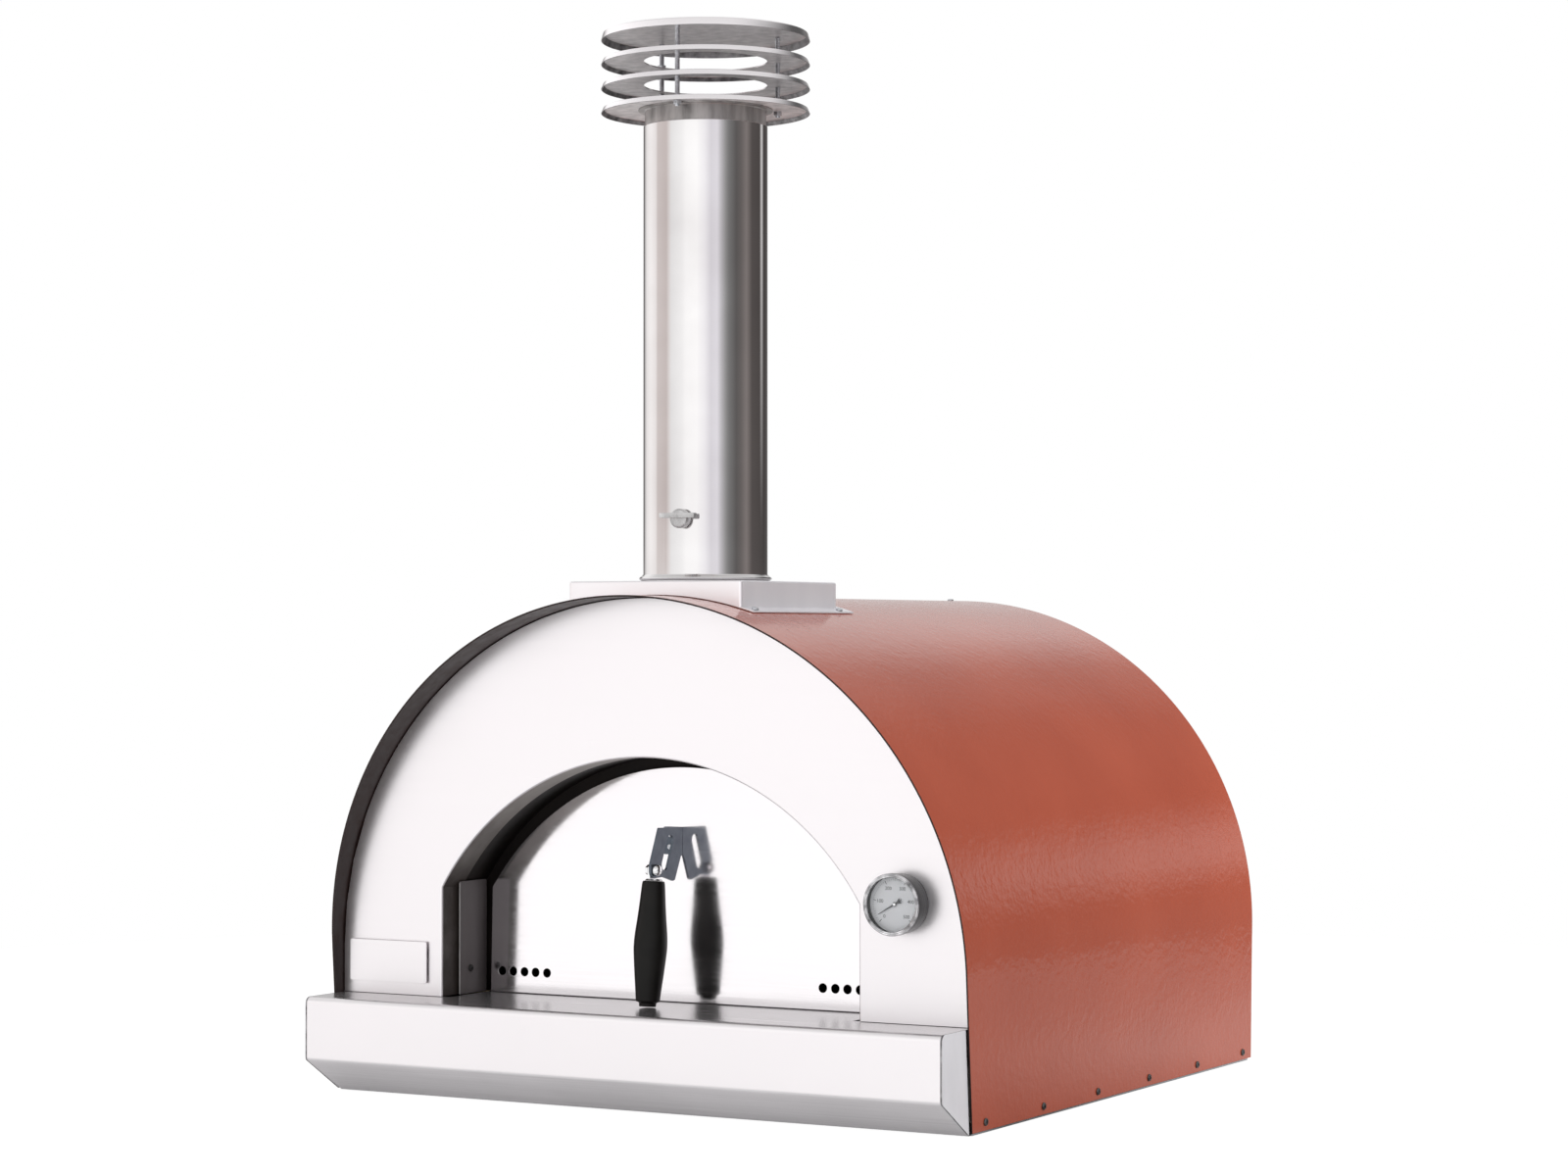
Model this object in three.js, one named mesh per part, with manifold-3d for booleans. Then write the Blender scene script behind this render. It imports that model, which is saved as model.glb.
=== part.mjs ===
// Wood fired pizza oven with a half-round outer vault, a stainless front, a lift-off door,
// a dial thermometer and a flue pipe with a butterfly damper and a ringed rain cap.
//
// Millimetres, +Z up, +X to the viewer's right, +Y towards the back of the oven.
// The working frame has Z = 0 at the vault's foot and Y = 0 at the foot of its front edge; the base
// and the ledge reach a little lower. The last step puts the whole oven on Z = 0 and the middle of
// its footprint at the origin.
import * as THREE from 'three';
import { mergeVertices } from 'three/addons/utils/BufferGeometryUtils.js';
import Module from 'manifold-3d';

// ---------------------------------------------------------------- driving dimensions

const GAP = 0.3; // between pieces that touch
const SHEET = 2; // steel sheet
const UNDERSIDE = -3; // of the base and the ledge, below the vault's foot

// outer vault: upright sides, then half an ellipse; both ends lean outwards with height
const VAULT_HALF = 432;
const VAULT_SPRING = 173;
const VAULT_TOP = 598.7;
const VAULT_BACK = 825.5;
const FRONT_LEAN = 0.0717;
const BACK_LEAN = 0.0313;

// front
const FACADE_FRONT = 9;
const FACADE_FLANGE_BACK = 55;
const FACADE_INSET = 3; // from the vault's outer face
const MOUTH_HALF = 285;
const MOUTH_SPRING = 247.5;
const MOUTH_TOP = 408.8;
const LEDGE_TOP = 115.5;
const LEDGE_FRONT = -70;
const LEDGE_HALF = 427;
const LEDGE_FOLD = 40; // height of the fold under the front face
const LEDGE_ROUND = 8;
const TONGUE_HALF = 275; // the ledge's top sheet inside the mouth
const TONGUE_BACK = 100;
const END_CAP_GAP = 1.5; // between an end cap and the vault's leaning front edge
const JAMB_FACE = 281; // outer face of the upright plates inside the mouth
const JAMB_FRONT = 40;
const JAMB_BACK = 97;
const JAMB_TOP = 253;
const NAME_PLATE = { x0: -417, x1: -305, z0: 131, z1: 181, front: 4.6, thickness: 1.6 };
const NAME_STUD_R = 2.5;
const NAME_STUD_INSET = 7;

// chamber, 70 mm inside the vault
const CHAMBER_HALF = 362;
const CHAMBER_TOP = 528.7;
const CHAMBER_FRONT = 57;
const CHAMBER_BACK = 743;
const TRAY_TOP = 75.2;
const TRAY_HALF = 424;
const TRAY_FOLD = 20;
const LINER_BACK = 106;
const STOP_WIDTH = 22; // the door stop's lip
const TILE_EASE = 2;
const RIB_FRONTS = [160, 410, 660];
const RIB_WIDTH = 40;
const RIB_HALF = 400;
const RIB_HEIGHT = 8;
const RAIL_HEIGHT = 24;
const BLANKET_BACK = 795;
const REAR_PANEL_BACK = 822;

// door
const DOOR_FRONT = 91; // at its foot
const DOOR_LEAN = 1.5; // degrees back from upright
const DOOR_SHIFT = 3; // it stands a little to the right of the middle
const DOOR_INSET = 13; // inside the mouth outline
const DOOR_RIM = 2.5;
const DOOR_BOTTOM = 116;
const AIR_HOLES_X = [190.5, 207, 223, 239.5, 255.5];
const AIR_HOLE_Z = 142;
const AIR_HOLE_R = 5.5;

// the handle's bracket, in its own side view: distance out from the door, height above its foot
const BRACKET_HALF = 1.5;
const BRACKET_BOLT = [62.6, 158.5];
const BRACKET_ROUND = 9.4;
const BRACKET_SLOT = [[28.8, 192.3], [40.3, 164.6]];
const BRACKET_SLOT_R = 7.2;
const BRACKET_TOP = 208;
const BRACKET_FOOT = 175;
const BRACKET_FLANGE = 24;
const BOLT_R = 3;
const BOLT_HOLE_R = 3.4;

// flue
const FLUE_Y = 152;
const PIPE_R = 75;
const PIPE_WALL = 1.5;
const PIPE_TOP = 1165;
const STUB_R = 72.8;
const SADDLE_HALF = 119;
const SADDLE_FRONT = 32;
const SADDLE_BACK = 265;
const SADDLE_TOP = 616;
const SADDLE_FLANGE = 15;
const COLLAR_TOP = 624.5;
const DAMPER_Z = 690;
const DAMPER_TURN = 10; // degrees from straight ahead towards +X
const DAMPER_R = 70;
const DAMPER_SHAFT_R = 4;

// rain cap
const CAP_R = 126;
const CAP_HOLE_R = 74.5;
const CAP_LIP = 6.5;
const CAP_TOP_LIP = 9.2;
const CAP_PITCH = 29.3;
const CAP_FIRST_LIP = 1180.4;
const CAP_SHEET = 1.4;
const CAP_ROD_CIRCLE = 88;
const CAP_ROD_R = 3;
const CAP_ROD_ANGLES = [-82, 38, 158];

// dial thermometer
const DIAL_X = 339;
const DIAL_Z = 251;
const CASE_R = 34;
const CASE_FRONT = -16;
const BEZEL_R = 35.2;
const BEZEL_DEPTH = 6;
const BEZEL_LIP = 2.2;
const DIAL_PLATE_FRONT = -6;
const NEEDLE_FRONT = -9;
const MOVEMENT_R = 12;
const STEM_END = 122;
const NUT_R = 10;
const NUT_HEIGHT = 6;
const STEM_R = 4;
const POINTER_REST = 210; // degrees, counter-clockwise from +X seen from the front

// fasteners
const SCREW_R = 2.4;
const SCREW_HEAD_R = 4.4;
const SCREW_HEAD = 2.4;
const SHELL_SCREW_FIRST = 32.4;
const SHELL_SCREW_PITCH = 152.6;
const SHELL_SCREWS = 6;
const SHELL_SCREW_Z = 9.5;
const SHELL_HEAD = 2.2;
const SADDLE_SCREW_X = 128;
const SADDLE_SCREW_Y = [46, 252];
const SADDLE_SCREW_LENGTH = 5.4; // stops short of the insulation
const RIDGE_SCREW_Y = 813;
const JAMB_SCREW = { y: 62, z: 146.5 };
const HOLE_CLEARANCE = 0.6;

const ROUND = 28; // sides of a large circle
const SMALL_ROUND = 8; // sides of a small one
const ARCH_STEPS = 14; // steps in a quarter of the vault; all nested arches share them

// ---------------------------------------------------------------- solids

const wasm = await Module();
wasm.setup();

function toSolid(geometry) {
  const bare = geometry.clone();
  bare.deleteAttribute('normal');
  bare.deleteAttribute('uv');
  const merged = mergeVertices(bare, 1e-4);
  return new wasm.Manifold(new wasm.Mesh({
    numProp: 3,
    vertProperties: Float32Array.from(merged.attributes.position.array),
    triVerts: Uint32Array.from(merged.index.array),
  }));
}

function toGeometry(solid) {
  const mesh = solid.getMesh();
  const geometry = new THREE.BufferGeometry();
  geometry.setAttribute('position', new THREE.BufferAttribute(mesh.vertProperties, 3));
  geometry.setIndex(new THREE.BufferAttribute(mesh.triVerts, 1));
  return geometry;
}

function join(first, ...others) {
  return toGeometry(others.reduce((solid, other) => solid.add(toSolid(other)), toSolid(first)));
}

function cut(first, ...tools) {
  return toGeometry(tools.reduce((solid, tool) => solid.subtract(toSolid(tool)), toSolid(first)));
}

function common(first, second) {
  return toGeometry(toSolid(first).intersect(toSolid(second)));
}

function box(x0, x1, y0, y1, z0, z1) {
  const geometry = new THREE.BoxGeometry(x1 - x0, y1 - y0, z1 - z0);
  return geometry.translate((x0 + x1) / 2, (y0 + y1) / 2, (z0 + z1) / 2);
}

// A round bar between two points.
function rod(start, end, radius, sides = SMALL_ROUND) {
  const from = new THREE.Vector3(...start);
  const span = new THREE.Vector3(...end).sub(from);
  const geometry = new THREE.CylinderGeometry(radius, radius, span.length(), sides);
  const turn = new THREE.Quaternion().setFromUnitVectors(
    new THREE.Vector3(0, 1, 0),
    span.clone().normalize(),
  );
  const middle = from.addScaledVector(span, 0.5);
  return geometry.applyQuaternion(turn).translate(middle.x, middle.y, middle.z);
}

// A turned piece on the flue's axis; the profile is [radius, height] pairs, anticlockwise.
function turned(profile, sides = ROUND) {
  const points = profile.map(([radius, height]) => new THREE.Vector2(radius, height));
  return new THREE.LatheGeometry(points, sides).rotateX(Math.PI / 2);
}

function ring(inner, outer, bottom, top, sides = ROUND) {
  const corners = [[inner, bottom], [outer, bottom], [outer, top], [inner, top], [inner, bottom]];
  return turned(corners, sides);
}

// An X-Z outline pushed back from yFront to yBack.
function alongY(shape, yFront, yBack, curveSegments = ARCH_STEPS) {
  const options = { depth: yBack - yFront, bevelEnabled: false, curveSegments };
  return new THREE.ExtrudeGeometry(shape, options).rotateX(Math.PI / 2).translate(0, yBack, 0);
}

// A Y-Z outline pushed sideways from x0 to x1.
function alongX(shape, x0, x1, curveSegments = 4) {
  const options = { depth: x1 - x0, bevelEnabled: false, curveSegments };
  const geometry = new THREE.ExtrudeGeometry(shape, options);
  const yzx = new THREE.Matrix4().set(0, 0, 1, x0, 1, 0, 0, 0, 0, 1, 0, 0, 0, 0, 0, 1);
  return geometry.applyMatrix4(yzx);
}

// ---------------------------------------------------------------- outlines

// Traces one vault-like arch from its right foot over the top to its left foot, or back.
function traceVault(path, half, spring, top, foot, backwards = false) {
  const side = backwards ? -1 : 1;
  const [start, end] = backwards ? [Math.PI, 0] : [0, Math.PI];
  path.lineTo(side * half, foot);
  path.lineTo(side * half, spring);
  path.absellipse(0, spring, half, top - spring, start, end, backwards, 0);
  path.lineTo(-side * half, foot);
}

function archShape(half, spring, top, foot) {
  const shape = new THREE.Shape();
  shape.moveTo(0, foot);
  traceVault(shape, half, spring, top, foot);
  shape.closePath();
  return shape;
}

function archBand(outer, inner, foot) {
  const shape = new THREE.Shape();
  shape.moveTo(outer.half, foot);
  traceVault(shape, outer.half, outer.spring, outer.top, foot);
  traceVault(shape, inner.half, inner.spring, inner.top, foot, true);
  shape.closePath();
  return shape;
}

const vaultAt = (offset) => ({
  half: VAULT_HALF + offset,
  spring: VAULT_SPRING,
  top: VAULT_TOP + offset,
});

const chamberAt = (offset) => ({
  half: CHAMBER_HALF + offset,
  spring: VAULT_SPRING,
  top: CHAMBER_TOP + offset,
});

function vaultShape(offset, foot) {
  const { half, spring, top } = vaultAt(offset);
  return archShape(half, spring, top, foot);
}

function chamberShape(offset, foot) {
  const { half, spring, top } = chamberAt(offset);
  return archShape(half, spring, top, foot);
}

// The mouth: upright sides, a corner, then a flatter arc over the top.
const MOUTH_RISE = MOUTH_TOP - MOUTH_SPRING;
const MOUTH_ARC_R = (MOUTH_HALF ** 2 + MOUTH_RISE ** 2) / (2 * MOUTH_RISE);
const MOUTH_ARC_Z = MOUTH_TOP - MOUTH_ARC_R;

function traceMouth(path, offset, foot, backwards = false) {
  const half = MOUTH_HALF + offset;
  const radius = MOUTH_ARC_R + offset;
  const corner = Math.acos(half / radius);
  const side = backwards ? -1 : 1;
  const [start, end] = backwards ? [Math.PI - corner, corner] : [corner, Math.PI - corner];
  path.lineTo(side * half, foot);
  path.absarc(0, MOUTH_ARC_Z, radius, start, end, backwards);
  path.lineTo(-side * half, foot);
}

function mouthShape(offset, foot) {
  const shape = new THREE.Shape();
  shape.moveTo(0, foot);
  traceMouth(shape, offset, foot);
  shape.closePath();
  return shape;
}

function mouthBand(outer, inner, foot) {
  const shape = new THREE.Shape();
  shape.moveTo(MOUTH_HALF + outer, foot);
  traceMouth(shape, outer, foot);
  traceMouth(shape, inner, foot, true);
  shape.closePath();
  return shape;
}

// ---------------------------------------------------------------- assembly

const oven = new THREE.Group();

const PAINT = { color: 0xb4523a, roughness: 0.35, metalness: 0.1 };
const STAINLESS = { color: 0xd8d6d4, roughness: 0.3, metalness: 1 };
const POLISHED = { color: 0xe4e4e6, roughness: 0.12, metalness: 1 };
const DARK_STEEL = { color: 0x1d1a18, roughness: 0.7, metalness: 0.4 };
const ZINC = { color: 0x8e9298, roughness: 0.35, metalness: 1 };
const WOOL = { color: 0xe9e4d6, roughness: 0.95, metalness: 0 };
const FIRECLAY = { color: 0xcbb391, roughness: 0.9, metalness: 0 };
const GRIP = { color: 0x161412, roughness: 0.5, metalness: 0 };
const DIAL_FACE = { color: 0xdcdcda, roughness: 0.5, metalness: 0.1 };
const GLASS = { color: 0xf4f8f8, roughness: 0.05, metalness: 0 };

function add(name, look, geometry, place = [0, 0, 0]) {
  const mesh = new THREE.Mesh(geometry, new THREE.MeshStandardMaterial(look));
  mesh.name = name;
  mesh.position.set(...place);
  oven.add(mesh);
}

// ---------------------------------------------------------------- fasteners

const shellScrewY = (index) => SHELL_SCREW_FIRST + index * SHELL_SCREW_PITCH;

// A pan-head screw from its seat at `seat`, pointing along `inward` for `length`.
function screw(seat, inward, length) {
  const at = (distance) => seat.map((value, axis) => value + inward[axis] * distance);
  const shank = rod(at(-1), at(length), SCREW_R);
  const head = rod(at(-SCREW_HEAD), seat, SCREW_HEAD_R);
  return join(head, shank);
}

function screwHole(seat, inward, depth) {
  const at = (distance) => seat.map((value, axis) => value + inward[axis] * distance);
  return rod(at(-depth), at(depth), SCREW_R + HOLE_CLEARANCE);
}

// The saddle's screws stand square to the curved vault.
function saddleScrewSeat(side, y) {
  const rise = VAULT_TOP - VAULT_SPRING;
  const lift = Math.sqrt(1 - (SADDLE_SCREW_X / VAULT_HALF) ** 2);
  const outward = new THREE.Vector3(SADDLE_SCREW_X / VAULT_HALF ** 2, 0, lift / rise).normalize();
  const surface = new THREE.Vector3(SADDLE_SCREW_X, y, VAULT_SPRING + rise * lift);
  surface.addScaledVector(outward, 3 * GAP + SHEET);
  return {
    seat: [side * surface.x, surface.y, surface.z],
    inward: [-side * outward.x, 0, -outward.z],
  };
}

const SADDLE_SEATS = [-1, 1].flatMap((side) => SADDLE_SCREW_Y.map((y) => saddleScrewSeat(side, y)));
const saddleScrewHoles = () => SADDLE_SEATS.map(({ seat, inward }) => screwHole(seat, inward, 12));

const RIDGE_SEAT = [0, RIDGE_SCREW_Y, VAULT_TOP + GAP];
const DOWN = [0, 0, -1];

// ---------------------------------------------------------------- casing

function outerVault() {
  const sheet = alongY(archBand(vaultAt(0), vaultAt(-SHEET), 0), 0, 1);
  const position = sheet.attributes.position;
  for (let i = 0; i < position.count; i += 1) {
    const z = position.getZ(i);
    const edge = position.getY(i) < 0.5 ? -FRONT_LEAN * z : VAULT_BACK + BACK_LEAN * z;
    position.setY(i, edge);
  }
  const flueHole = rod([0, FLUE_Y, VAULT_TOP - 40], [0, FLUE_Y, VAULT_TOP + 20], PIPE_R + 5, ROUND);
  const holes = [flueHole, screwHole(RIDGE_SEAT, DOWN, 10)];
  for (let i = 0; i < SHELL_SCREWS; i += 1) {
    for (const side of [-1, 1]) {
      holes.push(screwHole([side * VAULT_HALF, shellScrewY(i), SHELL_SCREW_Z], [side, 0, 0], 5));
    }
  }
  return cut(sheet, ...holes, ...saddleScrewHoles());
}

// A strip inside the vault's foot, with the six screws that pass through the vault into it.
function shellRail(side) {
  const inner = side * (VAULT_HALF - SHEET - GAP);
  const edges = [inner - side * 3, inner].sort((a, b) => a - b);
  const bar = box(...edges, 8, REAR_PANEL_BACK - 14, UNDERSIDE + SHEET + GAP, RAIL_HEIGHT);
  const head = side * (VAULT_HALF + GAP);
  const headFront = head + side * SHELL_HEAD;
  const screws = [];
  for (let i = 0; i < SHELL_SCREWS; i += 1) {
    const y = shellScrewY(i);
    screws.push(rod([inner - side, y, SHELL_SCREW_Z], [head + side, y, SHELL_SCREW_Z], SCREW_R));
    screws.push(rod([head, y, SHELL_SCREW_Z], [headFront, y, SHELL_SCREW_Z], SCREW_HEAD_R));
  }
  return join(bar, ...screws);
}

function facadePlate() {
  const outline = vaultShape(-FACADE_INSET, LEDGE_TOP + GAP);
  const plate = alongY(outline, FACADE_FRONT, FACADE_FRONT + SHEET);
  const mouth = alongY(mouthShape(0, LEDGE_TOP - 20), FACADE_FRONT - 5, FACADE_FRONT + 5);
  const flange = alongY(
    mouthBand(SHEET, 0, LEDGE_TOP + GAP),
    FACADE_FRONT + 0.5,
    FACADE_FLANGE_BACK,
  );
  const stemHole = rod([DIAL_X, 5, DIAL_Z], [DIAL_X, 20, DIAL_Z], STEM_R + 1.5);
  return cut(join(cut(plate, mouth), flange), stemHole);
}

function rearPanel() {
  const plateFront = REAR_PANEL_BACK - SHEET;
  const outline = vaultShape(-FACADE_INSET, UNDERSIDE + SHEET + GAP);
  const plate = alongY(outline, plateFront, REAR_PANEL_BACK);
  const rimFoot = RAIL_HEIGHT + 6;
  const rim = archBand(vaultAt(-FACADE_INSET), vaultAt(-FACADE_INSET - SHEET), rimFoot);
  const flange = alongY(rim, BLANKET_BACK + 4, plateFront + 0.5);
  return cut(join(plate, flange), screwHole(RIDGE_SEAT, DOWN, 12));
}

function basePan() {
  const half = VAULT_HALF - SHEET - 2 * GAP;
  const floor = box(-half, half, 4, REAR_PANEL_BACK - SHEET, UNDERSIDE, UNDERSIDE + SHEET);
  const ribs = RIB_FRONTS.map((y) => (
    box(-RIB_HALF, RIB_HALF, y, y + RIB_WIDTH, UNDERSIDE + 1, RIB_HEIGHT)
  ));
  return join(floor, ...ribs);
}

// ---------------------------------------------------------------- ledge

// The folded side view of the ledge: top sheet, rounded nose, upright face, sloped underside.
function ledgeOutline(back, inset) {
  const nose = LEDGE_ROUND - inset;
  const front = LEDGE_FRONT + inset;
  const top = LEDGE_TOP - inset;
  const shape = new THREE.Shape();
  shape.moveTo(back, top);
  shape.lineTo(front + nose, top);
  shape.absarc(front + nose, top - nose, nose, Math.PI / 2, Math.PI, false);
  shape.lineTo(front, LEDGE_FOLD + inset * 0.4);
  shape.lineTo(2, UNDERSIDE + inset * 1.15);
  shape.lineTo(back, UNDERSIDE + inset * 1.15);
  shape.closePath();
  return shape;
}

function frontLedge() {
  const back = FACADE_FRONT + 4;
  const outside = alongX(ledgeOutline(back, 0), -LEDGE_HALF, LEDGE_HALF);
  const inside = alongX(ledgeOutline(back + 10, SHEET), -LEDGE_HALF - 5, LEDGE_HALF + 5);
  const openBack = box(-500, 500, 3.6, back + 1, UNDERSIDE - 1, LEDGE_TOP - SHEET);
  const tongue = box(
    -TONGUE_HALF,
    TONGUE_HALF,
    back - 1,
    TONGUE_BACK,
    LEDGE_TOP - SHEET,
    LEDGE_TOP,
  );
  return join(cut(outside, inside, openBack), tongue);
}

function ledgeEndCap(side) {
  const plate = ledgeOutline(10, 0);
  const x0 = LEDGE_HALF + GAP;
  const x1 = x0 + SHEET;
  const cap = alongX(plate, Math.min(side * x0, side * x1), Math.max(side * x0, side * x1));
  const lowest = UNDERSIDE - 2;
  const highest = LEDGE_TOP + 10;
  const lean = new THREE.Shape();
  lean.moveTo(-END_CAP_GAP, lowest);
  lean.lineTo(30, lowest);
  lean.lineTo(30, highest);
  lean.lineTo(-END_CAP_GAP - FRONT_LEAN * highest, highest);
  lean.closePath();
  return cut(cap, alongX(lean, -500, 500));
}

// ---------------------------------------------------------------- chamber

function mouthLiner() {
  const foot = LEDGE_TOP + 2 * GAP;
  const band = alongY(mouthBand(SHEET, 0, foot), FACADE_FLANGE_BACK + GAP, LINER_BACK);
  const stop = alongY(mouthBand(0.5, -STOP_WIDTH, foot), LINER_BACK - SHEET, LINER_BACK);
  const holes = [-1, 1].map((side) => jambScrewHole(side));
  return cut(join(band, stop), ...holes);
}

function jambScrewHole(side) {
  const { y, z } = JAMB_SCREW;
  return screwHole([side * MOUTH_HALF, y, z], [side, 0, 0], 12);
}

function jambPlate(side) {
  const edges = [side * JAMB_FACE, side * (JAMB_FACE - SHEET)].sort((a, b) => a - b);
  const plate = box(...edges, JAMB_FRONT, JAMB_BACK, LEDGE_TOP + 2 * GAP, JAMB_TOP);
  return cut(plate, jambScrewHole(side));
}

function jambScrew(side) {
  const { y, z } = JAMB_SCREW;
  const seat = side * (JAMB_FACE - SHEET - GAP);
  return screw([seat, y, z], [side, 0, 0], 10);
}

function stubHole(radius, bottom, top) {
  return rod([0, FLUE_Y, bottom], [0, FLUE_Y, top], radius, ROUND);
}

function innerDome() {
  const band = archBand(chamberAt(0), chamberAt(-SHEET), TRAY_TOP + GAP);
  const sheet = alongY(band, CHAMBER_FRONT + SHEET + GAP, CHAMBER_BACK - GAP);
  return cut(sheet, stubHole(STUB_R + 0.6, 450, 600));
}

function chamberFrontWall() {
  const plate = chamberShape(0, TRAY_TOP + GAP);
  const sheet = alongY(plate, CHAMBER_FRONT, CHAMBER_FRONT + SHEET);
  const mouth = alongY(mouthShape(SHEET + GAP, TRAY_TOP - 10), CHAMBER_FRONT - 5, CHAMBER_FRONT + 8);
  const stemHole = rod([DIAL_X, 50, DIAL_Z], [DIAL_X, 65, DIAL_Z], STEM_R + 1);
  return cut(sheet, mouth, stemHole);
}

function chamberRearWall() {
  const outline = chamberShape(0, TRAY_TOP + GAP);
  return alongY(outline, CHAMBER_BACK, CHAMBER_BACK + SHEET);
}

function domeInsulation() {
  const band = archBand(vaultAt(-FACADE_INSET), chamberAt(0.5), TRAY_TOP + GAP);
  const blanket = alongY(band, CHAMBER_FRONT, CHAMBER_BACK + SHEET);
  return cut(blanket, stubHole(STUB_R + 2, 450, 650));
}

function frontInsulation() {
  const outline = vaultShape(-FACADE_INSET, LEDGE_TOP + 2 * GAP);
  const slab = alongY(outline, FACADE_FRONT + SHEET + GAP, CHAMBER_FRONT - GAP);
  const mouth = alongY(mouthShape(SHEET + 1, LEDGE_TOP - 20), 0, CHAMBER_FRONT + 10);
  const stemHole = rod([DIAL_X, 5, DIAL_Z], [DIAL_X, 70, DIAL_Z], 13);
  return cut(slab, mouth, stemHole);
}

function rearInsulation() {
  const outline = vaultShape(-FACADE_INSET, TRAY_TOP + GAP);
  return alongY(outline, CHAMBER_BACK + SHEET + GAP, BLANKET_BACK);
}

function floorInsulation() {
  return box(-420, 420, 20, BLANKET_BACK - 2, RIB_HEIGHT + GAP, TRAY_TOP - SHEET - GAP);
}

// A flat sheet with both long edges folded down.
function hearthTray() {
  const foot = TRAY_TOP - TRAY_FOLD;
  const shape = new THREE.Shape();
  shape.moveTo(-TRAY_HALF, foot);
  shape.lineTo(-TRAY_HALF + SHEET, foot);
  shape.lineTo(-TRAY_HALF + SHEET, TRAY_TOP - SHEET);
  shape.lineTo(TRAY_HALF - SHEET, TRAY_TOP - SHEET);
  shape.lineTo(TRAY_HALF - SHEET, foot);
  shape.lineTo(TRAY_HALF, foot);
  shape.lineTo(TRAY_HALF, TRAY_TOP);
  shape.lineTo(-TRAY_HALF, TRAY_TOP);
  shape.closePath();
  return alongY(shape, CHAMBER_FRONT + 5, BLANKET_BACK);
}

// A refractory floor tile with its upper edges eased.
function hearthTile(x0, x1, y0, y1) {
  const ease = TILE_EASE;
  const shape = new THREE.Shape();
  shape.moveTo(x0 + ease, y0 + ease);
  shape.lineTo(x1 - ease, y0 + ease);
  shape.lineTo(x1 - ease, y1 - ease);
  shape.lineTo(x0 + ease, y1 - ease);
  shape.closePath();
  const bottom = TRAY_TOP + GAP;
  const top = LEDGE_TOP - 0.5;
  const options = {
    depth: top - bottom - 2 * ease,
    bevelEnabled: true,
    bevelSize: ease,
    bevelThickness: ease,
    bevelSegments: 1,
  };
  return new THREE.ExtrudeGeometry(shape, options).translate(0, 0, bottom + ease);
}

// ---------------------------------------------------------------- flue

function flueSaddle() {
  const outside = box(-SADDLE_HALF, SADDLE_HALF, SADDLE_FRONT, SADDLE_BACK, 540, SADDLE_TOP);
  const inside = box(
    -SADDLE_HALF + SHEET,
    SADDLE_HALF - SHEET,
    SADDLE_FRONT + SHEET,
    SADDLE_BACK - SHEET,
    530,
    SADDLE_TOP - SHEET,
  );
  const vaultBody = alongY(vaultShape(2 * GAP, 0), -100, 900);
  const skirtBand = archBand(vaultAt(2 * GAP + SHEET), vaultAt(GAP), 0);
  const skirt = common(
    alongY(skirtBand, SADDLE_FRONT, SADDLE_BACK + SADDLE_FLANGE),
    box(-SADDLE_HALF - SADDLE_FLANGE, SADDLE_HALF + SADDLE_FLANGE, 0, 400, 500, 640),
  );
  const shell = join(cut(outside, inside), cut(skirt, inside));
  return cut(shell, vaultBody, stubHole(STUB_R + 0.8, 500, 700), ...saddleScrewHoles());
}

function flueStub() {
  return ring(STUB_R - SHEET, STUB_R, CHAMBER_TOP - 14, SADDLE_TOP + 22);
}

// A beaded collar that trims the foot of the pipe.
function flueCollar() {
  const inner = PIPE_R + 0.4;
  const bottom = SADDLE_TOP + GAP;
  const middle = (bottom + COLLAR_TOP) / 2;
  return turned([
    [inner, bottom],
    [inner + 2, bottom],
    [inner + 4.6, middle - 2],
    [inner + 4.6, middle],
    [inner + 0.8, COLLAR_TOP],
    [inner, COLLAR_TOP],
    [inner, bottom],
  ]);
}

function fluePipe() {
  const tube = ring(PIPE_R - PIPE_WALL, PIPE_R, SADDLE_TOP + GAP, PIPE_TOP);
  const reach = PIPE_R + 10;
  return cut(tube, rod([0, reach, DAMPER_Z], [0, -reach, DAMPER_Z], DAMPER_SHAFT_R + 0.8));
}

function damperDisc() {
  const bottom = DAMPER_Z + DAMPER_SHAFT_R + GAP;
  return rod([0, 0, bottom], [0, 0, bottom + SHEET], DAMPER_R, ROUND);
}

function damperShaft() {
  return rod([0, PIPE_R + 5, DAMPER_Z], [0, -PIPE_R - 12, DAMPER_Z], DAMPER_SHAFT_R);
}

// A round boss on the shaft's end, with a flat cross bar standing across its upper half.
function damperHandle() {
  const hub = rod([0, -PIPE_R - 5, DAMPER_Z], [0, -PIPE_R - 18, DAMPER_Z], 11.5, 20);
  const bore = rod([0, -PIPE_R, DAMPER_Z], [0, -PIPE_R - 12.5, DAMPER_Z], DAMPER_SHAFT_R + GAP);
  const bar = box(-22, 22, -PIPE_R - 24, -PIPE_R - 14, DAMPER_Z + 0.5, DAMPER_Z + 6.5);
  return join(cut(hub, bore), bar);
}

// ---------------------------------------------------------------- rain cap

const capLip = (index) => CAP_FIRST_LIP + index * CAP_PITCH;

// A flat annulus or disc whose rim turns down and slightly outwards.
function capPlate(lipBottom, lip, hole) {
  const top = lipBottom + lip;
  const under = top - CAP_SHEET;
  const rim = CAP_R - 1.8;
  return turned([
    [hole, under],
    [rim - CAP_SHEET, under],
    [CAP_R - CAP_SHEET, lipBottom],
    [CAP_R, lipBottom],
    [rim, top],
    [hole, top],
    ...(hole > 0 ? [[hole, under]] : []),
  ], 32);
}

function rodPlace(angle) {
  const turn = THREE.MathUtils.degToRad(angle);
  return [CAP_ROD_CIRCLE * Math.cos(turn), CAP_ROD_CIRCLE * Math.sin(turn)];
}

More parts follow.
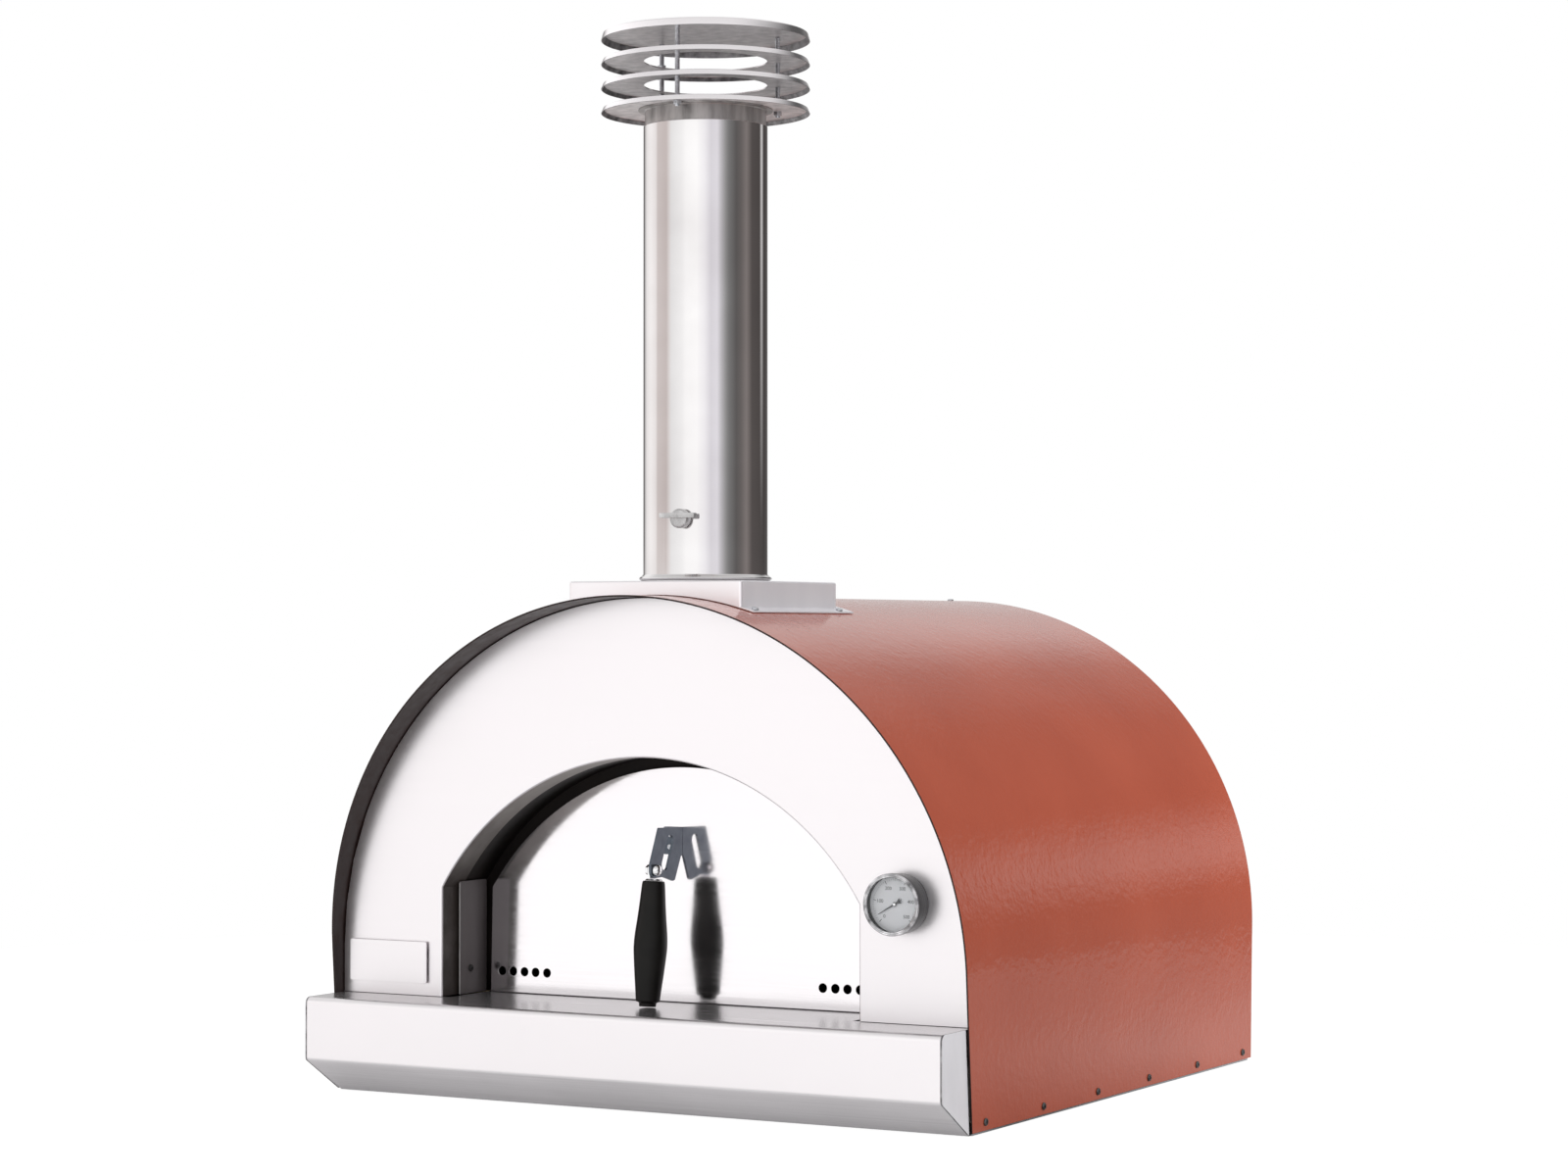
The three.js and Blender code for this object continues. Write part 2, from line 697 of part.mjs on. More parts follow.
function capRing(index) {
  const plate = capPlate(capLip(index), CAP_LIP, CAP_HOLE_R);
  const holes = CAP_ROD_ANGLES.map((angle) => {
    const [x, y] = rodPlace(angle);
    return rod([x, y, capLip(index) - 10], [x, y, capLip(index) + 20], CAP_ROD_R + 0.4);
  });
  return cut(plate, ...holes);
}

function capRod(angle) {
  const [x, y] = rodPlace(angle);
  const top = capLip(3) + CAP_TOP_LIP - CAP_SHEET - GAP;
  return rod([x, y, capLip(0) - 2], [x, y, top], CAP_ROD_R);
}

// The socket under the lowest ring, pushed into the pipe's top.
function capSpigot() {
  const outer = PIPE_R - PIPE_WALL - 0.4;
  const inner = outer - PIPE_WALL;
  const top = capLip(0) + CAP_LIP - CAP_SHEET - GAP;
  return turned([
    [inner, PIPE_TOP - 40],
    [outer, PIPE_TOP - 40],
    [outer, top - CAP_SHEET],
    [outer + 8, top - CAP_SHEET],
    [outer + 8, top],
    [inner, top],
    [inner, PIPE_TOP - 40],
  ]);
}

// ---------------------------------------------------------------- thermometer

// Turned on the dial's own axis, which runs along Y through (DIAL_X, DIAL_Z); depth is along +Y.
function dialTurned(profile, sides = ROUND) {
  const points = profile.map(([radius, depth]) => new THREE.Vector2(radius, depth));
  return new THREE.LatheGeometry(points, sides).translate(DIAL_X, 0, DIAL_Z);
}

function thermometerCase() {
  const back = FACADE_FRONT - GAP;
  return dialTurned([
    [STEM_R + 0.5, back - 1.5],
    [CASE_R - 1.5, back - 1.5],
    [CASE_R - 1.5, CASE_FRONT],
    [CASE_R, CASE_FRONT],
    [CASE_R, back],
    [STEM_R + 0.5, back],
    [STEM_R + 0.5, back - 1.5],
  ]);
}

function thermometerBezel() {
  const inner = CASE_R - 3.5;
  return dialTurned([
    [inner, CASE_FRONT - BEZEL_LIP],
    [BEZEL_R - 1.5, CASE_FRONT - BEZEL_LIP],
    [BEZEL_R, CASE_FRONT - 0.8],
    [BEZEL_R, CASE_FRONT + BEZEL_DEPTH],
    [CASE_R + GAP, CASE_FRONT + BEZEL_DEPTH],
    [CASE_R + GAP, CASE_FRONT - GAP],
    [inner, CASE_FRONT - GAP],
    [inner, CASE_FRONT - BEZEL_LIP],
  ]);
}

function disc(radius, front, back, sides = ROUND) {
  return rod([DIAL_X, front, DIAL_Z], [DIAL_X, back, DIAL_Z], radius, sides);
}

function thermometerDial() {
  const plate = disc(CASE_R - 2, DIAL_PLATE_FRONT, DIAL_PLATE_FRONT + 1);
  return cut(plate, disc(1.6, -10, 0, SMALL_ROUND));
}

// A slim needle with a short counterweight tail, on a hub whose pin passes through the dial.
function thermometerPointer() {
  const shape = new THREE.Shape();
  shape.moveTo(-9, -1.4);
  shape.lineTo(0, -1);
  shape.lineTo(22, -0.35);
  shape.lineTo(22, 0.35);
  shape.lineTo(0, 1);
  shape.lineTo(-9, 1.4);
  shape.closePath();
  const needle = new THREE.ExtrudeGeometry(shape, { depth: 0.6, bevelEnabled: false });
  needle.rotateZ(THREE.MathUtils.degToRad(POINTER_REST)).rotateX(Math.PI / 2);
  needle.translate(DIAL_X, NEEDLE_FRONT + 0.6, DIAL_Z);
  const hub = disc(2.6, NEEDLE_FRONT - 0.4, NEEDLE_FRONT + 1.8, SMALL_ROUND);
  const pin = disc(1, NEEDLE_FRONT + 1, DIAL_PLATE_FRONT + 1.8, SMALL_ROUND);
  return join(needle, hub, pin);
}

// The bulb tube behind the case, from the dial movement through the front into the chamber.
function thermometerStem() {
  const movement = disc(MOVEMENT_R, DIAL_PLATE_FRONT + 2.5, FACADE_FRONT - 5, 20);
  return join(movement, disc(STEM_R, FACADE_FRONT - 7, STEM_END, SMALL_ROUND));
}

function thermometerNut() {
  const back = FACADE_FRONT + SHEET + GAP;
  const bore = disc(STEM_R + GAP, back - 3, back + NUT_HEIGHT + 3, SMALL_ROUND);
  return cut(disc(NUT_R, back, back + NUT_HEIGHT, 6), bore);
}

// ---------------------------------------------------------------- name plate and door

// A blank plate on four short stand-offs.
function namePlate() {
  const { x0, x1, z0, z1, front, thickness } = NAME_PLATE;
  const plate = box(x0, x1, front, front + thickness, z0, z1);
  const inset = NAME_STUD_INSET;
  const studs = [x0 + inset, x1 - inset].flatMap((x) => [z0 + inset, z1 - inset].map((z) => (
    rod([x, front + thickness / 2, z], [x, FACADE_FRONT - GAP, z], NAME_STUD_R)
  )));
  return join(plate, ...studs);
}

// Leans a piece back with the door, about the door's lower front edge.
function leaned(geometry) {
  return geometry
    .translate(0, -DOOR_FRONT, -DOOR_BOTTOM)
    .rotateX(-THREE.MathUtils.degToRad(DOOR_LEAN))
    .translate(0, DOOR_FRONT, DOOR_BOTTOM);
}

function doorPlate() {
  const outline = mouthShape(-DOOR_INSET, DOOR_BOTTOM);
  const skin = alongY(outline, DOOR_FRONT, DOOR_FRONT + SHEET);
  const rimBand = mouthBand(-DOOR_INSET, -DOOR_INSET - SHEET, DOOR_BOTTOM);
  const rim = alongY(rimBand, DOOR_FRONT + 1, DOOR_FRONT + SHEET + DOOR_RIM);
  const holes = AIR_HOLES_X.flatMap((x) => [-x, x].map((at) => (
    rod([at, DOOR_FRONT - 5, AIR_HOLE_Z], [at, DOOR_FRONT + 9, AIR_HOLE_Z], AIR_HOLE_R, 10)
  )));
  return leaned(cut(join(skin, rim), ...holes).translate(DOOR_SHIFT, 0, 0));
}

// [y, z] of a point of the bracket's side view, before the door leans.
const onBracket = ([out, up]) => [DOOR_FRONT - out, DOOR_BOTTOM + up];

// A slotted side plate standing out from the door, with a foot flange against the door.
function doorBracket() {
  const back = DOOR_FRONT - GAP;
  const [boltY, boltZ] = onBracket(BRACKET_BOLT);
  const side = new THREE.Shape();
  side.moveTo(...onBracket([GAP, BRACKET_TOP]));
  side.lineTo(...onBracket([53.8, BRACKET_TOP]));
  side.lineTo(...onBracket([71.5, 169]));
  side.absarc(boltY, boltZ, BRACKET_ROUND, Math.PI * 0.85, Math.PI * 1.5, false);
  side.lineTo(...onBracket([43.5, 150]));
  side.lineTo(...onBracket([20.6, 144.6]));
  side.lineTo(...onBracket([16.5, 146.1]));
  side.lineTo(...onBracket([3.5, BRACKET_FOOT - 1.5]));
  side.lineTo(...onBracket([GAP, BRACKET_FOOT]));
  side.closePath();
  const plate = alongX(side, -BRACKET_HALF, BRACKET_HALF);
  const [slotTop, slotFoot] = BRACKET_SLOT.map(onBracket);
  const slot = join(
    rod([-5, ...slotTop], [5, ...slotTop], BRACKET_SLOT_R),
    rod([-5, ...slotFoot], [5, ...slotFoot], BRACKET_SLOT_R),
    slotMiddle(slotTop, slotFoot, BRACKET_SLOT_R),
  );
  const foot = box(
    -BRACKET_FLANGE,
    BRACKET_HALF,
    back - 3,
    back,
    DOOR_BOTTOM + BRACKET_FOOT,
    DOOR_BOTTOM + BRACKET_TOP,
  );
  const boltHole = rod([-5, boltY, boltZ], [5, boltY, boltZ], BOLT_HOLE_R);
  return leaned(join(cut(plate, slot, boltHole), foot));
}

// The straight part of a slot between two round ends, given as [y, z] centres.
function slotMiddle([y0, z0], [y1, z1], radius) {
  const along = new THREE.Vector2(y1 - y0, z1 - z0).normalize().multiplyScalar(radius);
  const shape = new THREE.Shape();
  shape.moveTo(y0 - along.y, z0 + along.x);
  shape.lineTo(y1 - along.y, z1 + along.x);
  shape.lineTo(y1 + along.y, z1 - along.x);
  shape.lineTo(y0 + along.y, z0 - along.x);
  shape.closePath();
  return alongX(shape, -5, 5);
}

// The grip hangs from the bracket's outer corner and swings out a little at its foot.
const GRIP_TOP = [-1.5, 34.6, 264.8];
const GRIP_FOOT = [-1.5, 20.5, 117];
const GRIP_LENGTH = 146.8;
const FERRULE_LENGTH = 2.4;

// The handle bolt's [y, z], carried back with the leaning door.
function boltPlace() {
  const lean = THREE.MathUtils.degToRad(DOOR_LEAN);
  const [out, up] = BRACKET_BOLT;
  return [
    DOOR_FRONT - out * Math.cos(lean) + up * Math.sin(lean),
    DOOR_BOTTOM + out * Math.sin(lean) + up * Math.cos(lean),
  ];
}

const [BOLT_Y, BOLT_Z] = boltPlace();
const boltRod = (x0, x1, radius, sides) => rod([x0, BOLT_Y, BOLT_Z], [x1, BOLT_Y, BOLT_Z], radius, sides);

function onGrip(geometry) {
  const foot = new THREE.Vector3(...GRIP_FOOT);
  const lean = new THREE.Vector3(...GRIP_TOP).sub(foot).normalize();
  const turn = new THREE.Quaternion().setFromUnitVectors(new THREE.Vector3(0, 0, 1), lean);
  return geometry.applyQuaternion(turn).translate(...GRIP_FOOT);
}

function handleGrip() {
  return onGrip(turned([
    [0, 0],
    [10, 0],
    [10, 5],
    [14.1, 6.5],
    [14.6, 12],
    [17, 35],
    [18.6, 52],
    [19.9, 70],
    [19.2, 85],
    [17.4, 100],
    [15.8, 116],
    [14.5, 132],
    [13.3, GRIP_LENGTH - 1.7],
    [12, GRIP_LENGTH],
    [0, GRIP_LENGTH],
  ], 16));
}

// A collar over the grip's top, with a flat tang beside the bracket that the bolt passes through.
function handleFerrule() {
  const bottom = GRIP_LENGTH + GAP;
  const top = bottom + FERRULE_LENGTH;
  const collar = onGrip(turned([[0, bottom], [10.5, bottom], [8.5, top], [0, top]], 16));
  const outer = -BRACKET_HALF - 0.4;
  const tang = box(outer - 3.6, outer, BOLT_Y - 6, BOLT_Y + 7, GRIP_TOP[2] - 0.6, BOLT_Z + 6);
  const bracketRoom = box(outer + 0.1, 20, 0, 60, BOLT_Z - BRACKET_ROUND - 0.5, BOLT_Z + 30);
  return cut(join(collar, tang), bracketRoom, boltRod(-9, 5, BOLT_HOLE_R));
}

function handleBolt() {
  const shank = boltRod(-8, 4, BOLT_R);
  const dome = turned([[0, 0], [7, 0], [7, 2.5], [6, 5], [3.5, 7], [0, 7.6]], 12);
  dome.rotateY(Math.PI / 2).translate(BRACKET_HALF + 0.4, BOLT_Y, BOLT_Z);
  return join(shank, dome, boltRod(-8.8, -5.9, 6.5, 6));
}

// ---------------------------------------------------------------- put together

const flueAxis = [0, FLUE_Y, 0];

add('outer_vault', PAINT, outerVault());
add('facade_plate', STAINLESS, facadePlate());
add('rear_panel', PAINT, rearPanel());
add('base_pan', ZINC, basePan());
add('front_ledge', STAINLESS, frontLedge());
add('ledge_end_cap_left', STAINLESS, ledgeEndCap(-1));
add('ledge_end_cap_right', STAINLESS, ledgeEndCap(1));
add('shell_rail_left', ZINC, shellRail(-1));
add('shell_rail_right', ZINC, shellRail(1));
add('ridge_screw', ZINC, screw(RIDGE_SEAT, DOWN, 8));
add('name_plate', POLISHED, namePlate());

add('mouth_liner', DARK_STEEL, mouthLiner());
add('jamb_plate_left', STAINLESS, jambPlate(-1));
add('jamb_plate_right', STAINLESS, jambPlate(1));
add('jamb_screw_left', ZINC, jambScrew(-1));
add('jamb_screw_right', ZINC, jambScrew(1));
add('inner_dome', DARK_STEEL, innerDome());
add('chamber_front_wall', DARK_STEEL, chamberFrontWall());
add('chamber_rear_wall', DARK_STEEL, chamberRearWall());
add('dome_insulation', WOOL, domeInsulation());
add('front_insulation', WOOL, frontInsulation());
add('rear_insulation', WOOL, rearInsulation());
add('floor_insulation', WOOL, floorInsulation());
add('hearth_tray', ZINC, hearthTray());

const TILE_FRONT = TONGUE_BACK + 1;
const TILE_MIDDLE = (TILE_FRONT + CHAMBER_BACK) / 2;
const TILE_SIDE = CHAMBER_HALF - 4;
for (const [side, x0, x1] of [['left', -TILE_SIDE, -0.5], ['right', 0.5, TILE_SIDE]]) {
  add(`hearth_tile_front_${side}`, FIRECLAY, hearthTile(x0, x1, TILE_FRONT, TILE_MIDDLE - 0.5));
  add(`hearth_tile_rear_${side}`, FIRECLAY, hearthTile(x0, x1, TILE_MIDDLE + 0.5, CHAMBER_BACK - 2));
}

add('flue_stub', STAINLESS, flueStub(), flueAxis);
add('flue_saddle', STAINLESS, flueSaddle());
SADDLE_SEATS.forEach(({ seat, inward }, index) => {
  add(`saddle_screw_${index + 1}`, ZINC, screw(seat, inward, SADDLE_SCREW_LENGTH));
});
add('flue_collar', STAINLESS, flueCollar(), flueAxis);

// the damper's cross shaft runs through the pipe, turned a little away from straight ahead
const flue = new THREE.Group();
flue.position.set(...flueAxis);
flue.rotation.z = THREE.MathUtils.degToRad(DAMPER_TURN);
oven.add(flue);
for (const [name, look, geometry] of [
  ['flue_pipe', STAINLESS, fluePipe()],
  ['damper_disc', STAINLESS, damperDisc()],
  ['damper_shaft', ZINC, damperShaft()],
  ['damper_handle', STAINLESS, damperHandle()],
]) {
  const mesh = new THREE.Mesh(geometry, new THREE.MeshStandardMaterial(look));
  mesh.name = name;
  flue.add(mesh);
}

add('cap_spigot', STAINLESS, capSpigot(), flueAxis);
['lower', 'middle', 'upper'].forEach((name, index) => {
  add(`cap_ring_${name}`, STAINLESS, capRing(index), flueAxis);
});
add('cap_top_disc', STAINLESS, capPlate(capLip(3), CAP_TOP_LIP, 0), flueAxis);
CAP_ROD_ANGLES.forEach((angle, index) => {
  add(`cap_rod_${index + 1}`, STAINLESS, capRod(angle), flueAxis);
});

add('thermometer_case', DARK_STEEL, thermometerCase());
add('thermometer_bezel', POLISHED, thermometerBezel());
add('thermometer_glass', GLASS, disc(CASE_R - 1.8, CASE_FRONT, CASE_FRONT + 2));
add('thermometer_dial', DIAL_FACE, thermometerDial());
add('thermometer_pointer', DARK_STEEL, thermometerPointer());
add('thermometer_stem', ZINC, thermometerStem());
add('thermometer_nut', ZINC, thermometerNut());

add('door_plate', POLISHED, doorPlate());
add('door_bracket', ZINC, doorBracket());
add('handle_ferrule', POLISHED, handleFerrule());
add('handle_grip', GRIP, handleGrip());
add('handle_bolt', POLISHED, handleBolt());

// the middle of the footprint goes to the origin, and the base onto Z = 0
const group = new THREE.Group();
group.add(oven);
group.updateMatrixWorld(true);
const bounds = new THREE.Box3().setFromObject(group, true);
oven.position.y = -(bounds.min.y + bounds.max.y) / 2;
oven.position.z = -bounds.min.z;

export default group;
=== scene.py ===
"""Looks of the wood fired pizza oven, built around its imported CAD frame.

Shapes are worked out in millimetres in the oven's working frame: X from the middle to the right, Y from
the foot of the vault's front edge to the back, Z up from the base. piece() turns them into metres in the
row frame. A solid is a (points, faces) pair until then, so solids can be joined and cut first.
"""

import math

import bmesh
import bpy
from mathutils import Matrix, Vector
from mathutils.geometry import tessellate_polygon


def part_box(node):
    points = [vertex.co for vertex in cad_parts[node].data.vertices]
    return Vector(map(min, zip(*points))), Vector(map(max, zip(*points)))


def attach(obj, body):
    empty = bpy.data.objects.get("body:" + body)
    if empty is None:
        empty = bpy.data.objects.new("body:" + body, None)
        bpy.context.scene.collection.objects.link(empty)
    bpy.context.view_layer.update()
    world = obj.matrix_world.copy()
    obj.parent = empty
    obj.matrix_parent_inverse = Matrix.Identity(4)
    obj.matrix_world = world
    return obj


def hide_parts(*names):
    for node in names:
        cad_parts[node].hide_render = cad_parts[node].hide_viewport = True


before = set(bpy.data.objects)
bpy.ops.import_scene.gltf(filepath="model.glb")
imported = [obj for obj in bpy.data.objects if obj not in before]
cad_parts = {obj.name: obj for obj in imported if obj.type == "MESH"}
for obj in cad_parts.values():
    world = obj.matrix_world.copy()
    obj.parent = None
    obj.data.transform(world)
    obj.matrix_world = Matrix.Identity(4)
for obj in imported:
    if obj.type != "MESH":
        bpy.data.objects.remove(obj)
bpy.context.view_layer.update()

# ---------------------------------------------------------------- driving dimensions, in millimetres

MM = 0.001
SHEET = 2.0
GAP = 0.3
FRONT_LEAN = 0.0717  # how far the vault's front edge leans out for each millimetre of height
BACK_LEAN = 0.0313
VAULT_BOX = [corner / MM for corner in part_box("outer_vault")]
FOOT = Vector((0, VAULT_BOX[0].y + FRONT_LEAN * (VAULT_BOX[1].z - VAULT_BOX[0].z), VAULT_BOX[0].z))


def cad(node):
    """(lowest corner, highest corner) of a CAD node, in millimetres in the working frame."""
    return tuple(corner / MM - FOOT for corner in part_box(node))


VAULT_HALF = cad("outer_vault")[1].x
VAULT_TOP = cad("outer_vault")[1].z
VAULT_SPRING = 173.0
VAULT_RISE = VAULT_TOP - VAULT_SPRING
VAULT_BACK = cad("outer_vault")[1].y - BACK_LEAN * VAULT_TOP
FACADE_FRONT = cad("facade_plate")[0].y
FACADE_BACK = cad("facade_plate")[1].y
FACADE_INSET = 3.0
MOUTH_HALF = 285.0
MOUTH_SPRING = 247.5
MOUTH_TOP = 408.8
MOUTH_R = (MOUTH_HALF**2 + (MOUTH_TOP - MOUTH_SPRING) ** 2) / (2 * (MOUTH_TOP - MOUTH_SPRING))
MOUTH_CENTRE = MOUTH_TOP - MOUTH_R
LEDGE_TOP = cad("front_ledge")[1].z
LEDGE_FRONT = cad("front_ledge")[0].y
LEDGE_HALF = cad("front_ledge")[1].x
LEDGE_BACK = FACADE_FRONT + 4
LEDGE_FOLD = 40.0
UNDERSIDE = cad("front_ledge")[0].z
TONGUE_HALF = 275.0
TONGUE_BACK = cad("front_ledge")[1].y
CHAMBER_HALF = 362.0
CHAMBER_TOP = 528.7
LINER_BACK = cad("mouth_liner")[1].y
DOOR_FRONT = cad("door_plate")[0].y
DOOR_BACK = DOOR_FRONT + 4.5
DOOR_BOTTOM = 116.0
DOOR_INSET = 13.0
DOOR_SHIFT = 3.0
DOOR_LEAN = math.radians(1.5)
BRACKET_BOLT = (62.6, 158.5)  # out from the door, up from its foot
BRACKET_FLANGE = 24.0
STOP_WIDTH = 22.0
AIR_HOLES_X = (190.5, 207, 223, 239.5, 255.5)
AIR_HOLE_Z = 142.0
AIR_HOLE_R = 5.5
FLUE = Vector((0, 152, 0))
FLUE_HOLE_R = 80.0
PIPE_R = 75.0
PIPE_WALL = 1.5
PIPE_TOP = cad("flue_pipe")[1].z
STUB_R = 72.8
SADDLE_HALF = 119.0
SADDLE_FRONT = 32.0
SADDLE_BACK = 265.0
SADDLE_TOP = cad("flue_saddle")[1].z
SADDLE_FLANGE = 15.0
SADDLE_SCREW_X = 128.0
SADDLE_SCREW_Y = (46.0, 252.0)
SADDLE_REAR_SCREW_X = 100.0
DAMPER_Z = 690.0
DAMPER_TURN = math.radians(10)
CAP_R = 126.0
CAP_HOLE_R = 74.5
CAP_PITCH = 29.3
CAP_FIRST_LIP = 1180.4
CAP_SHEET = 1.4
CAP_LIP = 6.5
CAP_TOP_LIP = 9.2
CAP_ROD_CIRCLE = 88.0
CAP_ROD_R = 3.0
CAP_ROD_ANGLES = (-82, 38, 158)
CAP_NUT_R = 5.6
CAP_NUT = 4.6
DIAL = Vector((339, 0, 251))
CASE_R = 34.0
CASE_FRONT = -16.0
BEZEL_R = 35.2
POINTER_REST = 210.0
SCREW_R = 2.4
HEAD_R = 4.4
SHELL_SCREWS_Y = [32.4 + 152.6 * i for i in range(6)]
SHELL_SCREW_Z = 9.5
RIDGE_SCREW_Y = 813.0
JAMB_SCREW = (62.0, 146.5)  # Y and Z

SIDES = ((-1, "left"), (1, "right"))
VAULT_STEPS = 160
ARCH_STEPS = 96
ROUND = 96

# ---------------------------------------------------------------- solids


def loft(rings, closed=False):
    """A skin over rings of equally many points. Open lofts are capped at both ends."""
    count = len(rings[0])
    points = [Vector(p) for ring in rings for p in ring]
    faces = []
    for i in range(len(rings) if closed else len(rings) - 1):
        here, there = i * count, (i + 1) % len(rings) * count
        for j in range(count):
            k = (j + 1) % count
            faces.append((here + j, here + k, there + k, there + j))
    if not closed:
        faces.append(tuple(range(count)))
        faces.append(tuple(range(len(points) - count, len(points))))
    return points, faces


def prism(outline, low, high, place, holes=()):
    """A flat outline with holes, pushed from low to high. place(u, v, depth) gives the point in space."""
    loops = [list(outline), *[list(hole) for hole in holes]]
    flat = [Vector((u, v, 0)) for loop in loops for u, v in loop]
    count = len(flat)
    points = [Vector(place(p.x, p.y, depth)) for depth in (low, high) for p in flat]
    triangles = tessellate_polygon([[Vector((u, v, 0)) for u, v in loop] for loop in loops])
    faces = [tuple(t) for t in triangles] + [tuple(i + count for i in t) for t in triangles]
    start = 0
    for loop in loops:
        for j in range(len(loop)):
            k = (j + 1) % len(loop)
            faces.append((start + j, start + k, start + k + count, start + j + count))
        start += len(loop)
    return points, faces


def along_x(u, v, depth):
    return depth, u, v


def along_y(u, v, depth):
    return u, depth, v


def along_z(u, v, depth):
    return u, v, depth


def box(low, high):
    (x0, y0, z0), (x1, y1, z1) = low, high
    return prism([(x0, y0), (x1, y0), (x1, y1), (x0, y1)], z0, z1, along_z)


def axis_at(origin, direction):
    """place(a, b, depth) on an axis through origin, with depth along direction."""
    turn = Vector((0, 0, 1)).rotation_difference(Vector(direction)).to_matrix()
    return lambda a, b, depth: Vector(origin) + turn @ Vector((a, b, depth))


def turned(profile, place, sides=ROUND):
    """A closed (radius, depth) profile turned about an axis. Points on the axis become one."""
    rings = []
    for i in range(sides):
        angle = 2 * math.pi * i / sides
        rings.append([place(r * math.cos(angle), r * math.sin(angle), h) for r, h in profile])
    return merge(loft(rings, closed=True))


def moved(solid, matrix):
    points, faces = solid
    return [matrix @ p for p in points], faces


def together(*solids):
    points, faces = [], []
    for more_points, more_faces in solids:
        start = len(points)
        points = points + list(more_points)
        faces = faces + [tuple(i + start for i in face) for face in more_faces]
    return points, faces


def to_mesh(name, solid):
    """The solid as a mesh, with points that coincide made one and its faces turned outwards."""
    points, faces = solid
    shell = bmesh.new()
    made = [shell.verts.new(p) for p in points]
    for face in faces:
        if len(set(face)) > 2 and shell.faces.get([made[i] for i in face]) is None:
            shell.faces.new([made[i] for i in face])
    bmesh.ops.remove_doubles(shell, verts=shell.verts, dist=0.0005)
    bmesh.ops.recalc_face_normals(shell, faces=shell.faces)
    mesh = bpy.data.meshes.new(name)
    shell.to_mesh(mesh)
    shell.free()
    return mesh


def from_mesh(mesh):
    """The mesh as a solid. The mesh itself is removed."""
    solid = [v.co.copy() for v in mesh.vertices], [tuple(face.vertices) for face in mesh.polygons]
    bpy.data.meshes.remove(mesh)
    return solid


def merge(solid):
    return from_mesh(to_mesh("merged", solid))


def in_scene(name, data):
    made = bpy.data.objects.new(name, data)
    bpy.context.scene.collection.objects.link(made)
    return made


def as_shown(made):
    """An object's shape as a solid, with its modifiers or its lettering worked out."""
    graph = bpy.context.evaluated_depsgraph_get()
    return from_mesh(bpy.data.meshes.new_from_object(made.evaluated_get(graph)))


def combine(first, second, operation):
    base, tool = [in_scene("loose", to_mesh("loose", solid)) for solid in (first, second)]
    modifier = base.modifiers.new("combine", "BOOLEAN")
    modifier.operation, modifier.solver, modifier.object = operation, "EXACT", tool
    result = as_shown(base)
    for item in (base, tool):
        mesh = item.data
        bpy.data.objects.remove(item)
        bpy.data.meshes.remove(mesh)
    return result


def cut(solid, *tools):
    for tool in tools:
        solid = combine(solid, tool, "DIFFERENCE")
    return solid


def join(first, second):
    return combine(first, second, "UNION")


def drill(start, end, radius, sides=32):
    """A round cutter from start to end."""
    start, end = Vector(start), Vector(end)
    depth = (end - start).length
    return turned([(0, 0), (radius, 0), (radius, depth), (0, depth)], axis_at(start, end - start), sides)


def flue_drill(low, high, radius):
    """A round cutter on the flue's axis."""
    return drill(FLUE + Vector((0, 0, low)), FLUE + Vector((0, 0, high)), radius, 64)


def bar(start, end, radius, sides=32, ease=0.4):
    """A round bar with eased ends."""
    start, end = Vector(start), Vector(end)
    length = (end - start).length
    profile = [(0, 0), (radius - ease, 0), (radius, ease)]
    profile += [(r, length - depth) for r, depth in profile[::-1]]
    return turned(profile, axis_at(start, end - start), sides)


# ---------------------------------------------------------------- outlines


def arc(centre, radius, start, end, steps):
    """Points on an arc; angles in degrees."""
    found = []
    for i in range(steps + 1):
        angle = math.radians(start + (end - start) * i / steps)
        found.append((centre[0] + radius * math.cos(angle), centre[1] + radius * math.sin(angle)))
    return found


def rounded(corners, steps=6, closed=True):
    """An outline from (u, v, radius) corners, each rounded by its own radius."""
    outline = []
    for i, (u, v, radius) in enumerate(corners):
        here = Vector((u, v))
        at_end = not closed and i in (0, len(corners) - 1)
        if radius <= 0 or at_end:
            outline.append((u, v))
            continue
        before = (Vector(corners[i - 1][:2]) - here).normalized()
        after = (Vector(corners[(i + 1) % len(corners)][:2]) - here).normalized()
        half = before.angle(after) / 2
        centre = here + (before + after).normalized() * radius / math.sin(half)
        start = here + before * radius / math.tan(half) - centre
        end = here + after * radius / math.tan(half) - centre
        turn = start.angle_signed(end)
        for j in range(steps + 1):
            point = centre + Matrix.Rotation(-turn * j / steps, 2) @ start
            outline.append((point.x, point.y))
    return outline


def rectangle(u0, v0, u1, v1, *radii, steps=6):
    """A rectangle's outline. Its corners are rounded by one radius, or by four from (u0, v0) onwards."""
    radii = radii * 4 if len(radii) == 1 else radii
    corners = zip((u0, u1, u1, u0), (v0, v0, v1, v1), radii, strict=True)
    return rounded([*corners], steps)


def bent_sheet(corners, thickness, steps=8):
    """The closed outline of a bent sheet: corners are its outer side, the sheet lies on their left."""
    inner = []
    for i, (u, v, radius) in enumerate(corners):
        here = Vector((u, v))
        sides = []
        if i > 0:
            sides.append((here - Vector(corners[i - 1][:2])).normalized())
        if i < len(corners) - 1:
            sides.append((Vector(corners[i + 1][:2]) - here).normalized())
        normals = [Vector((-side.y, side.x)) for side in sides]
        middle = sum(normals, Vector((0, 0))).normalized()
        reach = thickness / middle.dot(normals[0])
        point = here + middle * reach
        inner.append((point.x, point.y, max(radius - thickness, 0.3)))
    return rounded(corners, steps, False) + rounded(inner, steps, False)[::-1]


